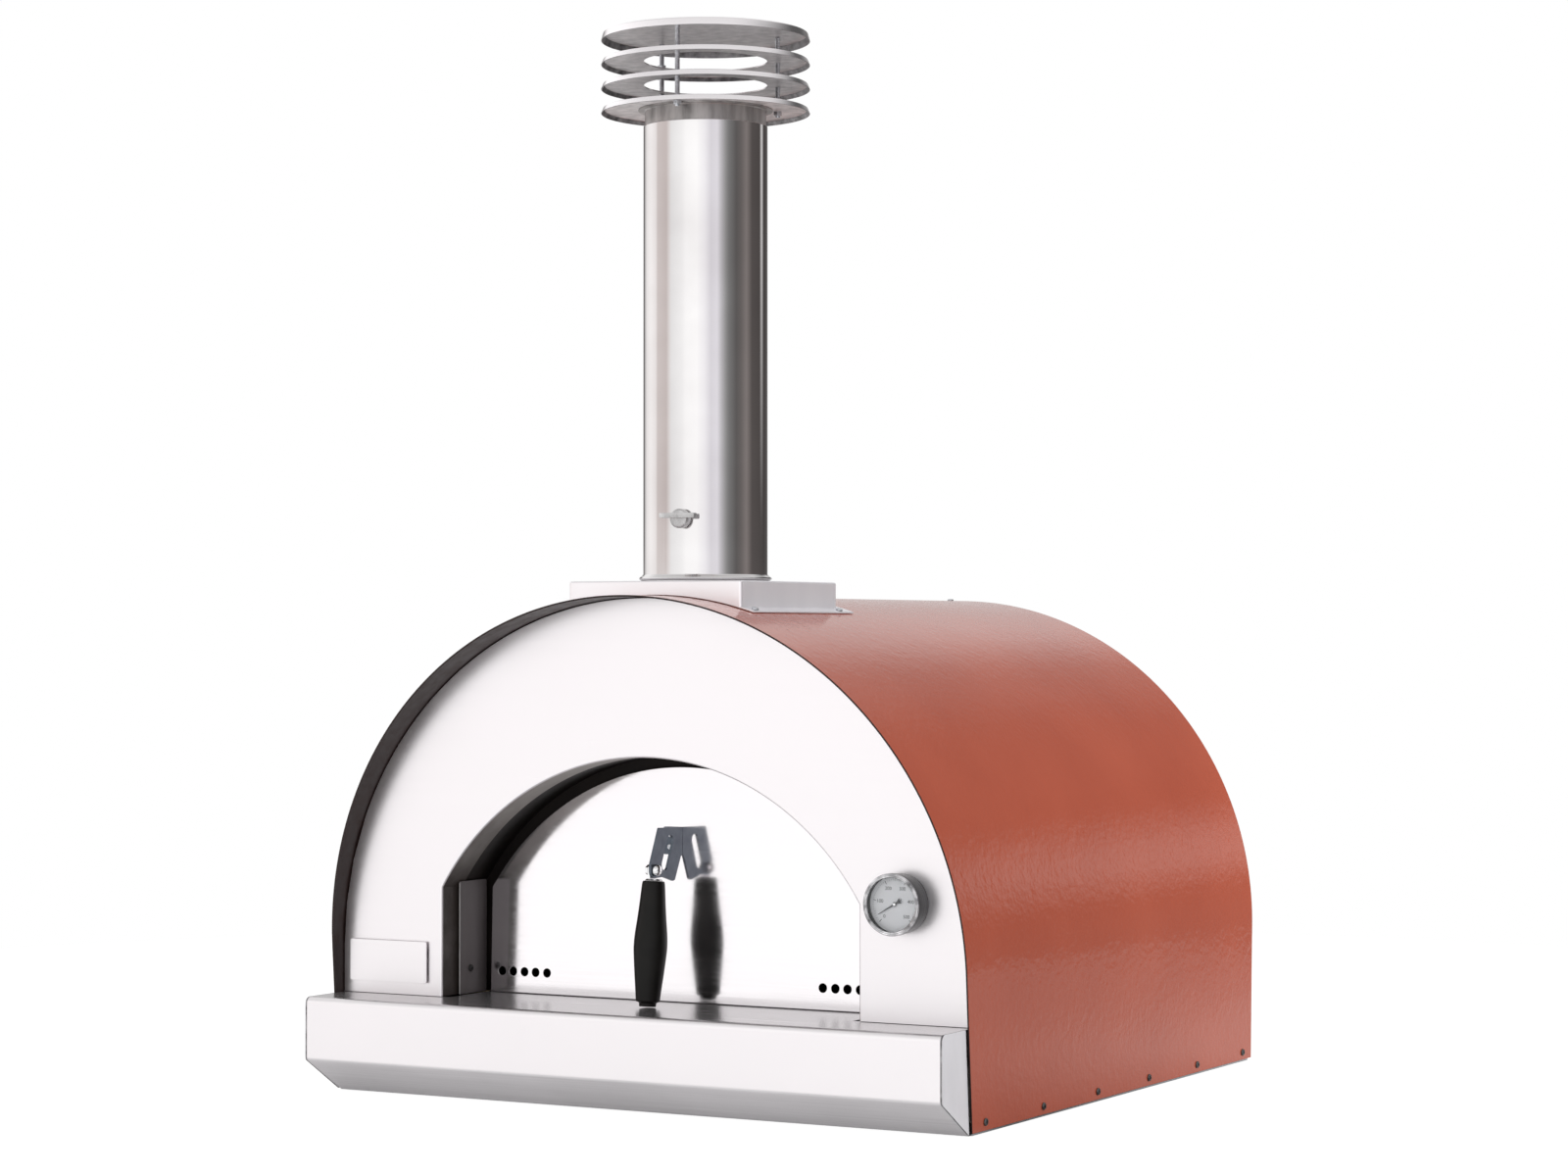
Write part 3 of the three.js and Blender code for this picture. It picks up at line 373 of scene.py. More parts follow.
def vault_point(share, offset=0.0, foot=0.0, half=VAULT_HALF, top=VAULT_TOP):
    """(x, z) on the vault's outline, share 0 at the right foot and 1 at the left foot."""
    half, rise, upright = half + offset, top - VAULT_SPRING + offset, VAULT_SPRING - foot
    bend = math.pi * (half + rise) / 2
    along = share * (bend + 2 * upright)
    if along <= upright:
        return half, foot + along
    if along >= upright + bend:
        return -half, foot + bend + 2 * upright - along
    angle = (along - upright) / bend * math.pi
    return half * math.cos(angle), VAULT_SPRING + rise * math.sin(angle)


def vault_height(x, offset=0.0):
    lift = 1 - (x / (VAULT_HALF + offset)) ** 2
    return VAULT_SPRING + (VAULT_RISE + offset) * math.sqrt(max(lift, 0))


def vault_outline(offset, foot, steps=ARCH_STEPS, **size):
    return [vault_point(i / steps, offset, foot, **size) for i in range(steps + 1)]


UPRIGHT_SHARE = 0.15


def mouth_point(share, offset=0.0, foot=0.0):
    """(x, z) on the mouth's outline. The uprights take UPRIGHT_SHARE of the way at each end."""
    half, radius = MOUTH_HALF + offset, MOUTH_R + offset
    corner = math.acos(half / radius)
    spring = MOUTH_CENTRE + radius * math.sin(corner)
    if share <= UPRIGHT_SHARE:
        return half, foot + (spring - foot) * share / UPRIGHT_SHARE
    if share >= 1 - UPRIGHT_SHARE:
        return -half, foot + (spring - foot) * (1 - share) / UPRIGHT_SHARE
    turn = (share - UPRIGHT_SHARE) / (1 - 2 * UPRIGHT_SHARE)
    angle = corner + (math.pi - 2 * corner) * turn
    return radius * math.cos(angle), MOUTH_CENTRE + radius * math.sin(angle)


def mouth_outline(offset, foot, steps=ARCH_STEPS):
    return [mouth_point(share, offset, foot) for share in mouth_shares(steps)]


def mouth_shares(steps=ARCH_STEPS):
    """Shares from 0 to 1 that hit both corners of the mouth."""
    side = max(2, round(steps * UPRIGHT_SHARE / 4))
    up = [UPRIGHT_SHARE * i / side for i in range(side)]
    middle = [UPRIGHT_SHARE + (1 - 2 * UPRIGHT_SHARE) * i / steps for i in range(steps + 1)]
    return up + middle + [1 - share for share in up[::-1]]


def arch_band(section, shares):
    """A loft along an arch. section(share) gives the (x, y, z) ring there."""
    return loft([section(share) for share in shares])


# ---------------------------------------------------------------- materials


def named_inputs(node):
    """A node's sockets by plain names, so that Specular IOR Level is specular_ior_level."""
    return {socket.name.lower().replace(" ", "_"): socket for socket in node.inputs}


def add_node(tree, kind, **values):
    """A shader node with its settings and input values."""
    node = tree.nodes.new(kind)
    sockets = named_inputs(node)
    for name, value in values.items():
        if name in sockets:
            sockets[name].default_value = value
        else:
            setattr(node, name, value)
    return node


def feed(tree, value, socket):
    """Gives a socket its value, which is another socket, a number or a colour."""
    if isinstance(value, bpy.types.NodeSocket):
        tree.links.new(value, socket)
    else:
        socket.default_value = (*value, 1) if socket.type == "RGBA" else value


def grey(level):
    return (level, level, level)


def noise(tree, scale, stretch=(1, 1, 1), detail=4.0, roughness=0.55, place=(0, 0, 0)):
    """A noise pattern fixed to the object. It is finer along an axis where stretch is larger."""
    where = add_node(tree, "ShaderNodeTexCoord")
    mapping = add_node(tree, "ShaderNodeMapping", scale=stretch, location=place)
    pattern = add_node(tree, "ShaderNodeTexNoise", scale=scale, detail=detail, roughness=roughness)
    tree.links.new(where.outputs["Object"], mapping.inputs["Vector"])
    tree.links.new(mapping.outputs["Vector"], pattern.inputs["Vector"])
    return pattern.outputs["Fac"]


def axes(tree, kind, output):
    """The X, Y and Z of a place that a node of this kind gives."""
    split = add_node(tree, "ShaderNodeSeparateXYZ")
    tree.links.new(add_node(tree, kind).outputs[output], split.inputs["Vector"])
    return split.outputs


def ranged(tree, socket, low, high, from_low=0.3, from_high=0.7):
    """The socket's values from_low..from_high brought to low..high."""
    node = add_node(tree, "ShaderNodeMapRange")
    tree.links.new(socket, node.inputs["Value"])
    limits = {"From Min": from_low, "From Max": from_high, "To Min": low, "To Max": high}
    for name, value in limits.items():
        node.inputs[name].default_value = value
    return node.outputs["Result"]


def calculated(tree, operation, first, second, **settings):
    """A sum, product or the like of two values, each a socket or a number."""
    node = add_node(tree, "ShaderNodeMath", operation=operation, **settings)
    feed(tree, first, node.inputs[0])
    feed(tree, second, node.inputs[1])
    return node.outputs[0]


def blended(tree, share, first, second, mode="MIX"):
    """Two colours blended by a share, each of the three a socket or fixed."""
    node = add_node(tree, "ShaderNodeMix", data_type="RGBA", blend_type=mode)
    feed(tree, share, node.inputs["Factor"])
    feed(tree, first, node.inputs[6])
    feed(tree, second, node.inputs[7])
    return node.outputs[2]


def mottle(tree, pattern, dark, light):
    """A colour that goes from dark to light with a pattern."""
    return blended(tree, ranged(tree, pattern, 0, 1), dark, light)


def tint(tree, shader, pattern, dark, light):
    tree.links.new(mottle(tree, pattern, dark, light), shader.inputs["Base Color"])


def roughen(tree, shader, pattern, low, high):
    tree.links.new(ranged(tree, pattern, low, high), shader.inputs["Roughness"])


def bumped(tree, shader, layers):
    """Chains bump layers of (height socket, strength, distance in metres) into the shader's normal."""
    normal = None
    for height, strength, distance in layers:
        bump = add_node(tree, "ShaderNodeBump", strength=strength, distance=distance)
        tree.links.new(height, bump.inputs["Height"])
        if normal is not None:
            tree.links.new(normal, bump.inputs["Normal"])
        normal = bump.outputs["Normal"]
    tree.links.new(normal, shader.inputs["Normal"])
    if shader.inputs["Coat Weight"].default_value > 0:
        tree.links.new(normal, shader.inputs["Coat Normal"])


def new_material(name, **values):
    material = bpy.data.materials.new(name)
    material.use_nodes = True
    tree = material.node_tree
    shader = tree.nodes["Principled BSDF"]
    sockets = named_inputs(shader)
    for label, value in values.items():
        sockets[label].default_value = value
    return material, tree, shader


def brushed_steel(name, light, dark, roughness, grain, wave=0.25):
    """Sheet steel with a fine directional grain. grain is its stretch along X, Y and Z."""
    material, tree, shader = new_material(name, metallic=1.0)
    lines = noise(tree, 1.0, grain, detail=3.0, roughness=0.6)
    cloud = noise(tree, 9.0, detail=3.0, place=(0.3, 0.1, 0.7))
    dents = noise(tree, 5.0, detail=1.0, place=(0.8, 0.4, 0.2))
    tint(tree, shader, cloud, dark, light)
    vary = 0.03
    broad = ranged(tree, cloud, roughness - vary, roughness + vary)
    spread = calculated(tree, "ADD", ranged(tree, lines, -vary, vary), broad)
    tree.links.new(spread, shader.inputs["Roughness"])
    bumped(tree, shader, [(dents, wave, 0.001), (lines, 0.03, 0.0002)])
    return material


def terracotta_paint():
    """Baked enamel: slightly mottled colour under a clear glossy skin with orange peel, lumpier on top."""
    skin = {"coat_weight": 1.0, "coat_roughness": 0.11, "specular_ior_level": 0.2}
    material, tree, shader = new_material("terracotta_paint", roughness=0.6, **skin)
    tint(tree, shader, noise(tree, 5.0), (0.32, 0.062, 0.031), (0.36, 0.074, 0.038))
    peel = noise(tree, 170.0, detail=1.5)
    waves = noise(tree, 9.0, stretch=(1, 0.6, 1), detail=1.5, place=(0.5, 0.5, 0.1))
    coarse = noise(tree, 75.0, detail=1.0, place=(0.1, 0.9, 0.4))
    height = axes(tree, "ShaderNodeNewGeometry", "Position")["Z"]
    lumps = calculated(tree, "MULTIPLY", coarse, ranged(tree, height, 0.15, 1.0, 0.57, 0.65))
    bumped(tree, shader, [(waves, 0.25, 0.003), (lumps, 0.9, 0.0026), (peel, 0.5, 0.0006)])
    return material


def pale_steel():
    """Blasted sheet that scatters the light around it, with faint vertical wipe marks."""
    material, tree, shader = new_material("pale_steel", metallic=0.55)
    wipe = noise(tree, 1.0, (60, 60, 9), detail=3.0)
    tint(tree, shader, wipe, (0.755, 0.735, 0.765), (0.775, 0.755, 0.78))
    roughen(tree, shader, wipe, 0.34, 0.44)
    bumped(tree, shader, [(wipe, 0.1, 0.0004), (noise(tree, 700.0, detail=2.0), 0.08, 0.0002)])
    return material


def streaked_steel(name, dark, light, rough):
    """Rolled sheet with long streaks across the oven."""
    material, tree, shader = new_material(name, metallic=0.85)
    streak = noise(tree, 1.0, (3, 260, 260), detail=5.0, roughness=0.65)
    cloud = noise(tree, 6.0, detail=3.0, place=(0.2, 0.5, 0.1))
    shade = mottle(tree, cloud, grey(0.85), grey(1))
    body = blended(tree, 0.5, mottle(tree, streak, dark, light), shade, "MULTIPLY")
    tree.links.new(body, shader.inputs["Base Color"])
    roughen(tree, shader, streak, *rough)
    bumped(tree, shader, [(streak, 0.12, 0.0003)])
    return material


def stained_steel():
    """The mouth's flange with painted shade: dark low down, paler towards the crown."""
    material, tree, shader = new_material("stained_steel", specular_ior_level=0.25)
    low, high = (MOUTH_SPRING + FOOT.z) * MM, (MOUTH_TOP + FOOT.z) * MM
    rise = ranged(tree, axes(tree, "ShaderNodeTexCoord", "Object")["Z"], 0, 1, low, high)
    cloud = ranged(tree, noise(tree, 16.0, detail=5.0), -0.12, 0.12)
    height = calculated(tree, "ADD", rise, cloud, use_clamp=True)
    body = blended(tree, height, (0.045, 0.036, 0.032), (0.42, 0.39, 0.37))
    tree.links.new(body, shader.inputs["Base Color"])
    roughen(tree, shader, noise(tree, 60.0), 0.42, 0.58)
    bumped(tree, shader, [(noise(tree, 200.0, detail=3.0), 0.15, 0.0003)])
    return material


def mottled(name, dark, light, rough, pattern, skin=None, metallic=0.0, shine=0.5):
    """A finish mottled between two tints. pattern holds noise()'s settings, and skin is the scale,
    strength and distance of a fine bump."""
    material, tree, shader = new_material(name, metallic=metallic, specular_ior_level=shine)
    spread = noise(tree, **pattern)
    tint(tree, shader, spread, dark, light)
    roughen(tree, shader, spread, *rough)
    if skin:
        scale, strength, distance = skin
        bumped(tree, shader, [(noise(tree, scale, detail=2.0), strength, distance)])
    return material


def dull_metal(name, dark, light, metallic, rough, grain=(60, 60, 60), shine=0.5):
    """A small part's metal with a light grain."""
    pattern = {"scale": 1.0, "stretch": grain}
    return mottled(name, dark, light, rough, pattern, (400.0, 0.15, 0.0003), metallic, shine)


def zinc_plate():
    """Bright zinc plating with its faint spangle."""
    material, tree, shader = new_material("zinc_plate", metallic=1.0)
    cells = add_node(tree, "ShaderNodeTexVoronoi", scale=260.0)
    tree.links.new(add_node(tree, "ShaderNodeTexCoord").outputs["Object"], cells.inputs["Vector"])
    body = blended(tree, cells.outputs["Distance"], (0.58, 0.59, 0.62), (0.76, 0.78, 0.81))
    tree.links.new(body, shader.inputs["Base Color"])
    roughen(tree, shader, noise(tree, 90.0), 0.22, 0.36)
    bumped(tree, shader, [(noise(tree, 500.0, detail=2.0), 0.1, 0.0002)])
    return material


def polished_steel():
    """Mirror-rolled sheet: nearly a mirror, with the slight waviness of thin plate."""
    material, tree, shader = new_material("polished_steel", metallic=1.0)
    tint(tree, shader, noise(tree, 7.0, detail=2.0), (0.86, 0.86, 0.87), (0.93, 0.93, 0.935))
    roughen(tree, shader, noise(tree, 1.0, (30, 30, 900), detail=2.0), 0.07, 0.13)
    bumped(tree, shader, [(noise(tree, 6.0, detail=1.0), 0.12, 0.001)])
    return material


def fireclay():
    """Pale firebrick, gritty and unevenly sooted."""
    material, tree, shader = new_material("fireclay")
    grit = noise(tree, 160.0, detail=5.0, roughness=0.7)
    soot = mottle(tree, noise(tree, 7.0), (0.62, 0.58, 0.54), grey(1))
    clay = mottle(tree, grit, (0.50, 0.39, 0.26), (0.66, 0.55, 0.40))
    tree.links.new(blended(tree, 0.6, clay, soot, "MULTIPLY"), shader.inputs["Base Color"])
    roughen(tree, shader, grit, 0.8, 0.95)
    bumped(tree, shader, [(grit, 0.4, 0.0006)])
    return material


def ceramic_wool():
    material, tree, shader = new_material("ceramic_wool", roughness=0.95)
    fibres = noise(tree, 1.0, (500, 60, 500), detail=5.0, roughness=0.7)
    tint(tree, shader, fibres, (0.70, 0.67, 0.59), (0.86, 0.84, 0.78))
    bumped(tree, shader, [(fibres, 0.6, 0.002)])
    return material


def dial_glass():
    """Thin glass: clear, with a mirror film that grows at grazing angles."""
    material, tree, shader = new_material("dial_glass", metallic=1.0, roughness=0.03)
    tint(tree, shader, noise(tree, 60.0, detail=3.0), (0.85, 0.88, 0.88), (0.95, 0.97, 0.97))
    clear = add_node(tree, "ShaderNodeBsdfTransparent")
    blend = add_node(tree, "ShaderNodeMixShader")
    graze = add_node(tree, "ShaderNodeFresnel", ior=1.45)
    tree.links.new(graze.outputs["Fac"], blend.inputs["Fac"])
    tree.links.new(clear.outputs["BSDF"], blend.inputs[1])
    tree.links.new(shader.outputs["BSDF"], blend.inputs[2])
    tree.links.new(blend.outputs["Shader"], tree.nodes["Material Output"].inputs["Surface"])
    return material


STEEL, STEEL_SHADE = (0.80, 0.785, 0.785), (0.71, 0.69, 0.69)
BRIGHT, BRIGHT_SHADE = (0.97, 0.935, 0.95), (0.955, 0.92, 0.935)
SOOT = {"scale": 14.0, "detail": 6.0}
PAPER = {"scale": 1.0, "stretch": (1200, 1200, 60), "detail": 2.0}
INK = {"scale": 700.0, "detail": 2.0}
MOULDED = {"scale": 30.0, "detail": 3.0}

PAINT = terracotta_paint()
FRONT_STEEL = brushed_steel("front_steel", BRIGHT, BRIGHT_SHADE, 0.33, (5, 700, 700))
FLUE_STEEL = brushed_steel("flue_steel", STEEL, STEEL_SHADE, 0.055, (700, 700, 4), wave=0.0)
DOOR_STEEL = brushed_steel("door_steel", BRIGHT, BRIGHT_SHADE, 0.11, (6, 500, 500), wave=0.08)
LIP_STEEL = brushed_steel("lip_steel", BRIGHT, BRIGHT_SHADE, 0.2, (60, 60, 60))
# painted shade: a darker streaked grey for the ledge's top, the same sheet as its bright front
LEDGE_TOP_SHADE_STEEL = streaked_steel("ledge_steel", (0.44, 0.42, 0.43), (0.66, 0.64, 0.65), (0.2, 0.28))
SLOPE_STEEL = streaked_steel("slope_steel", (0.86, 0.83, 0.85), (0.97, 0.94, 0.96), (0.3, 0.4))
PALE_STEEL = pale_steel()
# painted shade: the mouth's flange, dark low down and pale at the crown
FLANGE_SHADE_STEEL = stained_steel()
# painted shade: a near-black brown for the vault's inner faces, its front and foot edges, and the door's back
# and edges, where shade falls
PAINTED_SHADE_BROWN = dull_metal(
    "shell_inside", (0.014, 0.006, 0.005), (0.026, 0.013, 0.011), 0.05, (0.4, 0.55), shine=0.3
)
# painted shade: a duller, darker mottle for the rain cap plates' undersides
CAP_UNDERSIDE_SHADE = dull_metal("cap_under", (0.56, 0.545, 0.545), (0.97, 0.94, 0.94), 0.3, (0.35, 0.5), (70, 70, 25))
SPIGOT_STEEL = dull_metal(
    "spigot_steel", (0.24, 0.225, 0.22), (0.56, 0.53, 0.52), 0.7, (0.3, 0.42), (60, 60, 14)
)
END_STEEL = dull_metal("end_steel", (0.76, 0.75, 0.78), (0.83, 0.82, 0.85), 0.4, (0.4, 0.5), (30, 30, 12))
# painted shade: a near-black finish for shadow lines on the mouth's right fold and the ledge's lower edge;
# the jamb screws take it too
BLACK_AND_PAINTED_SHADE = dull_metal("seam_dark", (0.012, 0.011, 0.011), (0.03, 0.028, 0.028), 0.3, (0.5, 0.6))
# painted shade: a dark grey for the ledge end caps' rims and the inside of the rain cap's lips
PAINTED_SHADE_GREY = dull_metal(
    "seam_steel", (0.10, 0.098, 0.10), (0.42, 0.41, 0.42), 0.7, (0.35, 0.45), (90, 90, 90)
)
BEZEL_STEEL = dull_metal(
    "bezel_steel", (0.12, 0.12, 0.125), (0.92, 0.91, 0.93), 0.9, (0.12, 0.22), (75, 75, 75)
)
# painted highlight: a light grey for the jamb plates' front edges
PAINTED_HIGHLIGHT_STEEL = dull_metal("edge_steel", (0.55, 0.53, 0.53), (0.68, 0.66, 0.66), 0.6, (0.35, 0.45))
JAMB_STEEL = dull_metal(
    "jamb_steel", (0.075, 0.065, 0.066), (0.12, 0.105, 0.106), 0.15, (0.42, 0.55), (20, 20, 6)
)
HANDLE_STEEL = dull_metal("handle_steel", (0.36, 0.355, 0.355), (0.74, 0.73, 0.73), 0.8, (0.25, 0.35))
CASE_STEEL = dull_metal(
    "case_steel", (0.008, 0.008, 0.009), (0.06, 0.059, 0.061), 0.6, (0.22, 0.32), (9, 300, 9)
)
BRACKET_STEEL = dull_metal("bracket_steel", (0.085, 0.10, 0.125), (0.14, 0.16, 0.19), 0.7, (0.28, 0.4))
DARK_ZINC = dull_metal("dark_zinc", grey(0.09), grey(0.2), 0.9, (0.25, 0.35))
TUNNEL_SKIN, GRIP_SKIN = (300.0, 0.15, 0.0004), (900.0, 0.2, 0.0002)
TUNNEL = mottled(
    "dark_tunnel_steel", (0.004, 0.002, 0.002), (0.014, 0.009, 0.007), (0.45, 0.65), SOOT, TUNNEL_SKIN, 0.6
)
GRIP = mottled(
    "black_grip", (0.004, 0.0035, 0.003), (0.009, 0.008, 0.007), (0.36, 0.44), MOULDED, GRIP_SKIN, shine=0.2
)
DIAL_FACE = mottled("dial_face", (0.95, 0.95, 0.98), (0.97, 0.97, 1.0), (0.4, 0.5), PAPER)
PRINT = mottled("printed_black", (0.02, 0.02, 0.022), (0.035, 0.035, 0.04), (0.35, 0.5), INK)
ZINC = zinc_plate()
POLISHED = polished_steel()
CLAY = fireclay()
WOOL = ceramic_wool()
GLASS = dial_glass()

# ---------------------------------------------------------------- pieces


def ease_edges(made, bevel, angle):
    ease = made.modifiers.new("eased_edges", "BEVEL")
    ease.width, ease.segments = bevel * MM, 2
    ease.limit_method, ease.angle_limit = "ANGLE", math.radians(angle)
    return ease


def piece(name, solid, material, body="oven", bevel=0.0, crease=30.0):
    """A finished piece in metres and in the row frame, smooth with eased edges, riding on its body.

    It stands for the CAD node that has its name, if there is one.
    """
    mesh = to_mesh(name, solid)
    for vertex in mesh.vertices:
        vertex.co = (vertex.co + FOOT) * MM
    mesh.update()
    mesh.shade_smooth()
    mesh.set_sharp_from_angle(angle=math.radians(crease))
    mesh.materials.append(material)
    made = in_scene(name, mesh)
    if bevel > 0:
        ease_edges(made, bevel, crease).harden_normals = True
    made.modifiers.new("flat_faces", "WEIGHTED_NORMAL").keep_sharp = True
    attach(made, body)
    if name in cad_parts:
        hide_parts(name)
    return made


def second_finish(made, material, chosen):
    """Gives another finish to the faces chosen(centre, normal) takes, centre in the working frame."""
    made.data.materials.append(material)
    for face in made.data.polygons:
        if chosen(face.center / MM - FOOT, face.normal):
            face.material_index = len(made.data.materials) - 1


def dress(node, material, bevel=0.0):
    """A CAD node kept as it is, with its finish and eased edges."""
    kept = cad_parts[node]
    kept.data.materials.clear()
    kept.data.materials.append(material)
    if bevel > 0:
        ease_edges(kept, bevel, 40)


def screw_template():
    """A pan head on the Z axis with its seat at 0 and a cross recess."""
    height = 2.2
    profile = [(0, -1.0), (HEAD_R - 0.3, 0), (HEAD_R, 0.3), (HEAD_R - 0.1, height * 0.45)]
    profile += [(HEAD_R * 0.8, height * 0.85), (HEAD_R * 0.5, height), (0, height)]
    reach, width, deep = HEAD_R * 0.52, 0.55, height * 0.45
    slots = [
        box((-reach, -width, deep), (reach, width, height + 1)),
        box((-width, -reach, deep), (width, reach, height + 1)),
    ]
    return cut(turned(profile, along_z, 24), *slots)


SCREW_HEAD = screw_template()


def screw(seat, inward, length, scale=1.0, turn=0.0):
    """A screw whose head sits on seat, pointing along inward."""
    seat, inward = Vector(seat), Vector(inward)
    rotate = Vector((0, 0, 1)).rotation_difference(-inward).to_matrix().to_4x4()
    spin = Matrix.Rotation(math.radians(turn), 4, "Z") @ Matrix.Scale(scale, 4)
    head = moved(SCREW_HEAD, Matrix.Translation(seat) @ rotate @ spin)
    return together(head, bar(seat + inward * 0.5, seat + inward * length, SCREW_R, 12))


def hex_nut(centre, direction, radius, height):
    return prism(arc((0, 0), radius, 0, 300, 5), 0, height, axis_at(centre, direction))


# ---------------------------------------------------------------- casing


def outer_vault():
    def section(share):
        outer_x, outer_z = vault_point(share)
        inner_x, inner_z = vault_point(share, -SHEET)
        front, back = -FRONT_LEAN * outer_z, VAULT_BACK + BACK_LEAN * outer_z
        return [
            (outer_x, front, outer_z),
            (inner_x, front, inner_z),
            (inner_x, back, inner_z),
            (outer_x, back, outer_z),
        ]

    # painted shade: faces turned into the vault, and its front edge, take the near-black brown
    def in_painted_shade(centre, normal):
        outward = vault_normal(centre.x) if centre.z > VAULT_SPRING else Vector((centre.x, 0, 0))
        return normal.dot(outward) < -0.1 or (normal.y < -0.7 and centre.y < 0)

    sheet = arch_band(section, [i / VAULT_STEPS for i in range(VAULT_STEPS + 1)])
    hole = flue_drill(VAULT_TOP - 40, VAULT_TOP + 20, FLUE_HOLE_R)
    made = piece("outer_vault", cut(sheet, hole), PAINT, bevel=0.5)
    second_finish(made, PAINTED_SHADE_BROWN, in_painted_shade)
    # painted shade: the vault's lower edge takes the near-black brown as a shadow line along the floor
    second_finish(made, PAINTED_SHADE_BROWN, lambda centre, normal: normal.z < -0.9 and centre.z < 2)


def facade_plate():
    bend = 2.5
    foot = LEDGE_TOP + GAP

    def section(share):
        ring = [(*vault_point(share, -FACADE_INSET, foot), FACADE_FRONT)]
        for i in range(5):
            angle = math.pi / 2 * i / 4
            offset, depth = bend * (1 - math.sin(angle)), bend * (1 - math.cos(angle))
            ring.append((*mouth_point(share, offset, foot), FACADE_FRONT + depth))
        ring.append((*mouth_point(share, 0, foot), FACADE_BACK))
        ring.append((*mouth_point(share, SHEET, foot), FACADE_BACK))
        ring.append((*mouth_point(share, SHEET, foot), FACADE_FRONT + SHEET))
        ring.append((*vault_point(share, -FACADE_INSET, foot), FACADE_FRONT + SHEET))
        return [(x, y, z) for x, z, y in ring]

    # painted shade: the mouth's fold on the right side only is near-black, a painted shadow line
    def right_fold(centre, normal):
        fold = centre.y < FACADE_FRONT + bend and 0 < centre.x < MOUTH_HALF + bend
        return fold and centre.z < MOUTH_SPRING + 10 and normal.x < -0.6

    stem = drill(on_dial(0, 0, 5), on_dial(0, 0, 20), 5.5, 24)
    plate = cut(arch_band(section, mouth_shares()), stem)
    made = piece("facade_plate", plate, FRONT_STEEL, bevel=0.4)
    # painted shade: the flange behind the bend takes the finish that is dark low down and pale at the crown
    second_finish(made, FLANGE_SHADE_STEEL, lambda centre, normal: centre.y > FACADE_FRONT + bend)
    second_finish(made, BLACK_AND_PAINTED_SHADE, right_fold)


def rear_panel():
    low, high = cad("rear_panel")
    bend = 3.0
    steps = [
        (-FACADE_INSET - SHEET, high.y - SHEET),
        (-FACADE_INSET - SHEET, low.y),
        (-FACADE_INSET, low.y),
        (-FACADE_INSET, high.y - bend),
        (-FACADE_INSET - bend * 0.3, high.y - bend * 0.3),
        (-FACADE_INSET - bend, high.y),
    ]

    def outline(offset, y):
        return [(x, y, z) for x, z in vault_outline(offset, low.z - offset - FACADE_INSET)]

    pan = loft([outline(offset, y) for offset, y in steps])
    piece("rear_panel", pan, PAINT, bevel=0.4)


def front_ledge():
    """The ledge's sheet, folded from its back edge over the nose to the lower lip, and its tongue."""
    corners = [(LEDGE_BACK, LEDGE_TOP, 0), (LEDGE_FRONT, LEDGE_TOP, 8), (LEDGE_FRONT, LEDGE_FOLD, 6)]
    corners += [(0, UNDERSIDE, 2.2), (3.4, UNDERSIDE, 0)]
    fold = prism(bent_sheet(corners, SHEET), -LEDGE_HALF, LEDGE_HALF, along_x)
    low = (-TONGUE_HALF, LEDGE_BACK - 3, LEDGE_TOP - SHEET)
    tongue = box(low, (TONGUE_HALF, TONGUE_BACK, LEDGE_TOP))
    made = piece("front_ledge", join(fold, tongue), FRONT_STEEL, bevel=0.5)
    # painted shade: the ledge's upward faces take the darker grey
    second_finish(made, LEDGE_TOP_SHADE_STEEL, lambda centre, normal: normal.z > 0.9)
    second_finish(made, SLOPE_STEEL, lambda centre, normal: normal.z < -0.3)
    # painted shade: the ledge's lower edge is near-black, a painted shadow line
    second_finish(made, BLACK_AND_PAINTED_SHADE, lambda centre, normal: centre.z < UNDERSIDE + 1.9)


def ledge_end_cap(side, name):
    clear = 3.0
    corners = [(-clear - FRONT_LEAN * LEDGE_TOP, LEDGE_TOP, 0.6), (LEDGE_FRONT, LEDGE_TOP, 8)]
    corners += [(LEDGE_FRONT, LEDGE_FOLD, 5), (-clear, UNDERSIDE + 1.2, 0.6)]
    inner = LEDGE_HALF + GAP
    plate = prism(rounded(corners), side * inner, side * (inner + SHEET), along_x)
    made = piece(name, plate, END_STEEL, bevel=0.5)
    # painted shade: the end cap's rim faces take the dark grey, a painted shadow line round the cap
    second_finish(made, PAINTED_SHADE_GREY, lambda centre, normal: abs(normal.x) < 0.5)


def shell_rail(side, name):
    """The strip that the screws along the vault's foot enter, with its screws."""
    inner = side * (VAULT_HALF - SHEET - GAP)
    low, high = sorted((inner - side * 3, inner))
    front, back, top = 8, 808, 24
    strip = box((low, front, UNDERSIDE + SHEET + GAP), (high, back, top))
    screws = []
    for i, y in enumerate(SHELL_SCREWS_Y):
        seat = (side * (VAULT_HALF + GAP), y, SHELL_SCREW_Z)
        screws.append(screw(seat, (-side, 0, 0), 5, turn=37 * i))
    piece(name, together(strip, *screws), DARK_ZINC)


def name_plate():
    """A blank plate on four studs."""
    low, high = cad("name_plate")
    high.y = low.y + 1.6
    plate = prism(rectangle(low.x, low.z, high.x, high.z, 2), low.y, high.y, along_y)
    studs = [
        bar((x, high.y - 0.4, z), (x, FACADE_FRONT - GAP, z), 2.5, 16, 0.2)
        for x in (low.x + 7, high.x - 7)
        for z in (low.z + 7, high.z - 7)
    ]
    piece("name_plate", together(plate, *studs), FRONT_STEEL, bevel=0.35)


